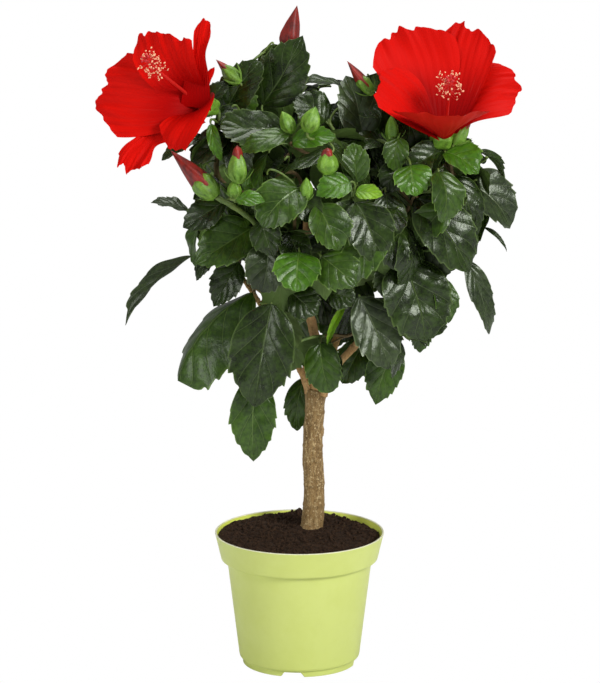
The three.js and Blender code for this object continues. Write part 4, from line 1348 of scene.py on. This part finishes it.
def spray(spacing, inward, lengths, tries, start_spots, slack):
    """Leaves spread over the open skin, `inward` under it: rows of (base, tip, face, width)."""
    chosen = draw.choice(len(surface), SPOTS_DRAWN, p=areas / areas.sum())
    mix = np.sort(draw.uniform(0, 1, (SPOTS_DRAWN, 2)), axis=1)
    mix = np.stack([mix[:, 0], mix[:, 1] - mix[:, 0], 1 - mix[:, 1]], -1)
    spots = np.einsum("nk,nkj->nj", mix, surface[chosen])
    kept, taken = [], list(start_spots)
    for spot, normal in zip(spots, flat[chosen]):
        spot_in = spot - normal * inward
        if taken and np.linalg.norm(np.array(taken) - spot_in, axis=1).min() < spacing:
            continue
        if crown_solid.ray_cast(Vector(spot + normal * 0.3), Vector(normal), CLEARANCE)[0] is not None:
            continue
        for _ in range(tries):
            long = draw.uniform(*lengths)
            face = unit(0.8 * normal + np.array([0, 0, 0.45]) + draw.normal(0, 0.22, 3))
            hang = unit(np.array([0, 0, -0.75]) + 0.45 * normal + draw.normal(0, 0.42, 3))
            along = unit(hang - np.dot(hang, face) * face)
            middle = spot_in + draw.normal(0, 1.5, 3)
            base, tip = middle - along * long * 0.5, middle + along * long * 0.5
            width = long * draw.uniform(0.62, 0.76)
            if fits(sample_points(base, tip, face, width), slack):
                kept.append((base, tip, face, width))
                taken.append(spot_in)
                break
    return kept


leading_middles = (leading["base"] + leading["tip"]) / 2
outer = spray(spacing=19.0, inward=3.0, lengths=(38, 60), tries=5, start_spots=leading_middles, slack=7.0)
inner = spray(spacing=27.0, inward=18.0, lengths=(36, 56), tries=4, start_spots=[], slack=2.0)
print("seeded leaves:", len(outer), "outer and", len(inner), "inner")


# %% Tones of the seeded leaves
CROWN_FOOT, CROWN_TALL = 250, 280


def seeded_table(rows):
    """Turns (base, tip, face, width) rows into blade arrays with the usual random bends."""
    base, tip, face, width = (np.array([row[k] for row in rows]) for k in range(4))
    return dict(base=base, tip=tip, face=face, width=width, **bends(
        len(rows), curl=(0.35, 1.15), fold=(0.05, 0.4), droop=(0.05, 0.25), twist=(-0.45, 0.45),
        ripple=(0.02, 0.055), waves=(1.4, 2.6), pleats=(0.010, 0.028), widest=(0.36, 0.47),
        sharp=(0.8, 1.1), phase=(0, 1), sway=(-0.07, 0.07), pucker=(0.7, 1.6)))


outer_table = seeded_table(outer)
inner_table = seeded_table(inner)
outer_grids, outer_uv = blades(outer_table, 6, 5, 11, 0.06)
inner_grids, inner_uv = blades(inner_table, 6, 3, 9)
height_share = (outer_table["tip"][:, 2] - CROWN_FOOT) / CROWN_TALL + draw.normal(0, 0.16, len(outer))
patch = noise(outer_table["base"], 46, 91) + draw.normal(0, 0.35, len(outer))
outer_tone = np.where(patch > 0.45, "mid", np.where(patch < -0.5, "grey", "dark"))
outer_tone[(height_share > 0.72) & (patch > 0.1)] = "young"
leading_tone = np.array([row[3] for row in LEADING])
for tone, look in LEAF_LOOKS.items():
    for start, tones, grids, uv, stands_for in (
            ("leaves_leading_", leading_tone, leading_grids, leading_uv, LONE_LEAVES),
            ("leaves_", outer_tone, outer_grids, outer_uv, MASSES)):
        chosen = tones == tone
        if chosen.any():
            blade_piece(start + tone, [(grids[chosen], uv[chosen])], look, "foliage",
                        stands_for if tone == "dark" else ())
blade_piece("leaves_inner", [(inner_grids, inner_uv)], LEAF_LOOKS["dark"], "foliage")

# %% [markdown]
# ## Twigs and leaf stalks
# The twigs grow like this: the boughs give the first joints. Leaves, buds and blooms are taken in
# order of their distance from the boughs, and each sends a curved stalk to the nearest joint, at a
# cost that favours growing up and outwards. The inner half of that stalk then offers new joints.
# A stalk that carries more is thicker, as in a real bush.

# %% Growing the twigs
BOUGH_BARE = 75  # steps at the foot of a bough that carry no stalks
CHAIN_STEPS = 13
SHORTEST_BRANCHED = 9
ends = [(table["base"], unit(table["tip"] - table["base"]), np.full(len(table["base"]), size))
        for table, size in ((leading, 0.95), (outer_table, 0.9), (inner_table, 0.85))]
ends.append(tuple(np.array([stem[k] for stem in stems_to]) for k in range(3)))
end_points, end_ways, end_sizes = (np.concatenate([end[k] for end in ends]) for k in range(3))
bough_joints = np.concatenate([line[BOUGH_BARE:] for line in bough_lines.values()])
bough_ways = np.concatenate([unit(np.gradient(line, axis=0))[BOUGH_BARE:] for line in bough_lines.values()])
gap_to_bough = np.array([np.linalg.norm(bough_joints - p, axis=1).min() for p in end_points])
joints = [bough_joints]
joint_ways = [bough_ways]
joint_owner = [np.full(len(bough_joints), -1)]
joint_step = [np.zeros(len(bough_joints), int)]
chains, parents = {}, {}
for leaf in np.argsort(gap_to_bough):
    spots = np.concatenate(joints)
    ways = np.concatenate(joint_ways)
    target, way = end_points[leaf], end_ways[leaf]
    to = target - spots
    far = np.linalg.norm(to, axis=1)
    behind = 1 - np.sum(unit(to) * ways, -1)  # 0 straight ahead of the joint, 2 straight back
    best = int(np.argmin(far * (1 + 0.45 * behind) + 6 * behind))
    start, start_way, gap = spots[best], ways[best], far[best]
    path = bezier(start, start + start_way * gap * 0.3 + np.array([0, 0, 0.06]) * gap,
                  target - way * min(gap * 0.4, 14), target, CHAIN_STEPS)
    path += np.stack([noise(path + 31 * k, 13, 70) for k in range(3)], -1) * np.sin(
        np.linspace(0, math.pi, CHAIN_STEPS))[:, None] * min(gap / 30, 1.2)
    chains[leaf] = path
    parents[leaf] = (int(np.concatenate(joint_owner)[best]), int(np.concatenate(joint_step)[best]))
    if gap > SHORTEST_BRANCHED:
        use = np.arange(2, 9)  # the inner steps, without the first two
        joints.append(path[use])
        joint_ways.append(unit(np.gradient(path, axis=0))[use])
        joint_owner.append(np.full(len(use), leaf))
        joint_step.append(use)
longest = max(np.linalg.norm(path[-1] - path[0]) for path in chains.values())
print("stalks:", len(chains), "longest", round(longest), "mm")

# %% Thickness of the twigs
THICKEST_TWIG = 2.3
WOODY_LOAD = 3.5  # a stalk that carries more than this many others is bark
load = {leaf: np.zeros(CHAIN_STEPS) for leaf in chains}
for leaf in reversed(list(chains)):
    owner, step = parents[leaf]
    if owner >= 0:
        load[owner][:step + 1] += 1 + load[leaf][0]
twig_paths = np.array([chains[leaf] for leaf in chains])
twig_load = np.array([load[leaf] for leaf in chains])
twig_size = np.array([end_sizes[leaf] for leaf in chains])[:, None]
twig_radii = np.minimum(twig_size * (1 + 0.28 * twig_load ** 0.6), THICKEST_TWIG)
woody = twig_load[:, 2] > WOODY_LOAD
twig_look = two_tone("twig_bark", (0.2, 0.14, 0.075), 0.75, (260, 0.5), (92, 76, 44), (136, 116, 76))
stalk_look = two_tone("green_stalk", srgb(88, 118, 48)[:3], 0.55, (90,), (74, 100, 40), (112, 132, 58))
SHOOT = [(-71, -51, 431), (-57, -56, 424), (-41, -54, 412), (-30, -40, 396), (-22, -26, 384)]
SHOOT_STEPS = 40
shoot_radii = 2.3 + 0.5 * np.sin(np.linspace(0, 19, SHOOT_STEPS)) ** 8
shoot_path = smooth_path(SHOOT, SHOOT_STEPS)
for name, lines, radii, sides, look, slot in (
        ("green_shoots", shoot_path[None], shoot_radii[None], 16, stalk_look, "foliage"),
        ("twigs", twig_paths[woody], twig_radii[woody], 8, twig_look, "bark"),
        ("leaf_stalks", twig_paths[~woody], twig_radii[~woody], 7, stalk_look, "foliage")):
    piece(name, *many(tubes(lines, radii, sides), around=True), look, slot)
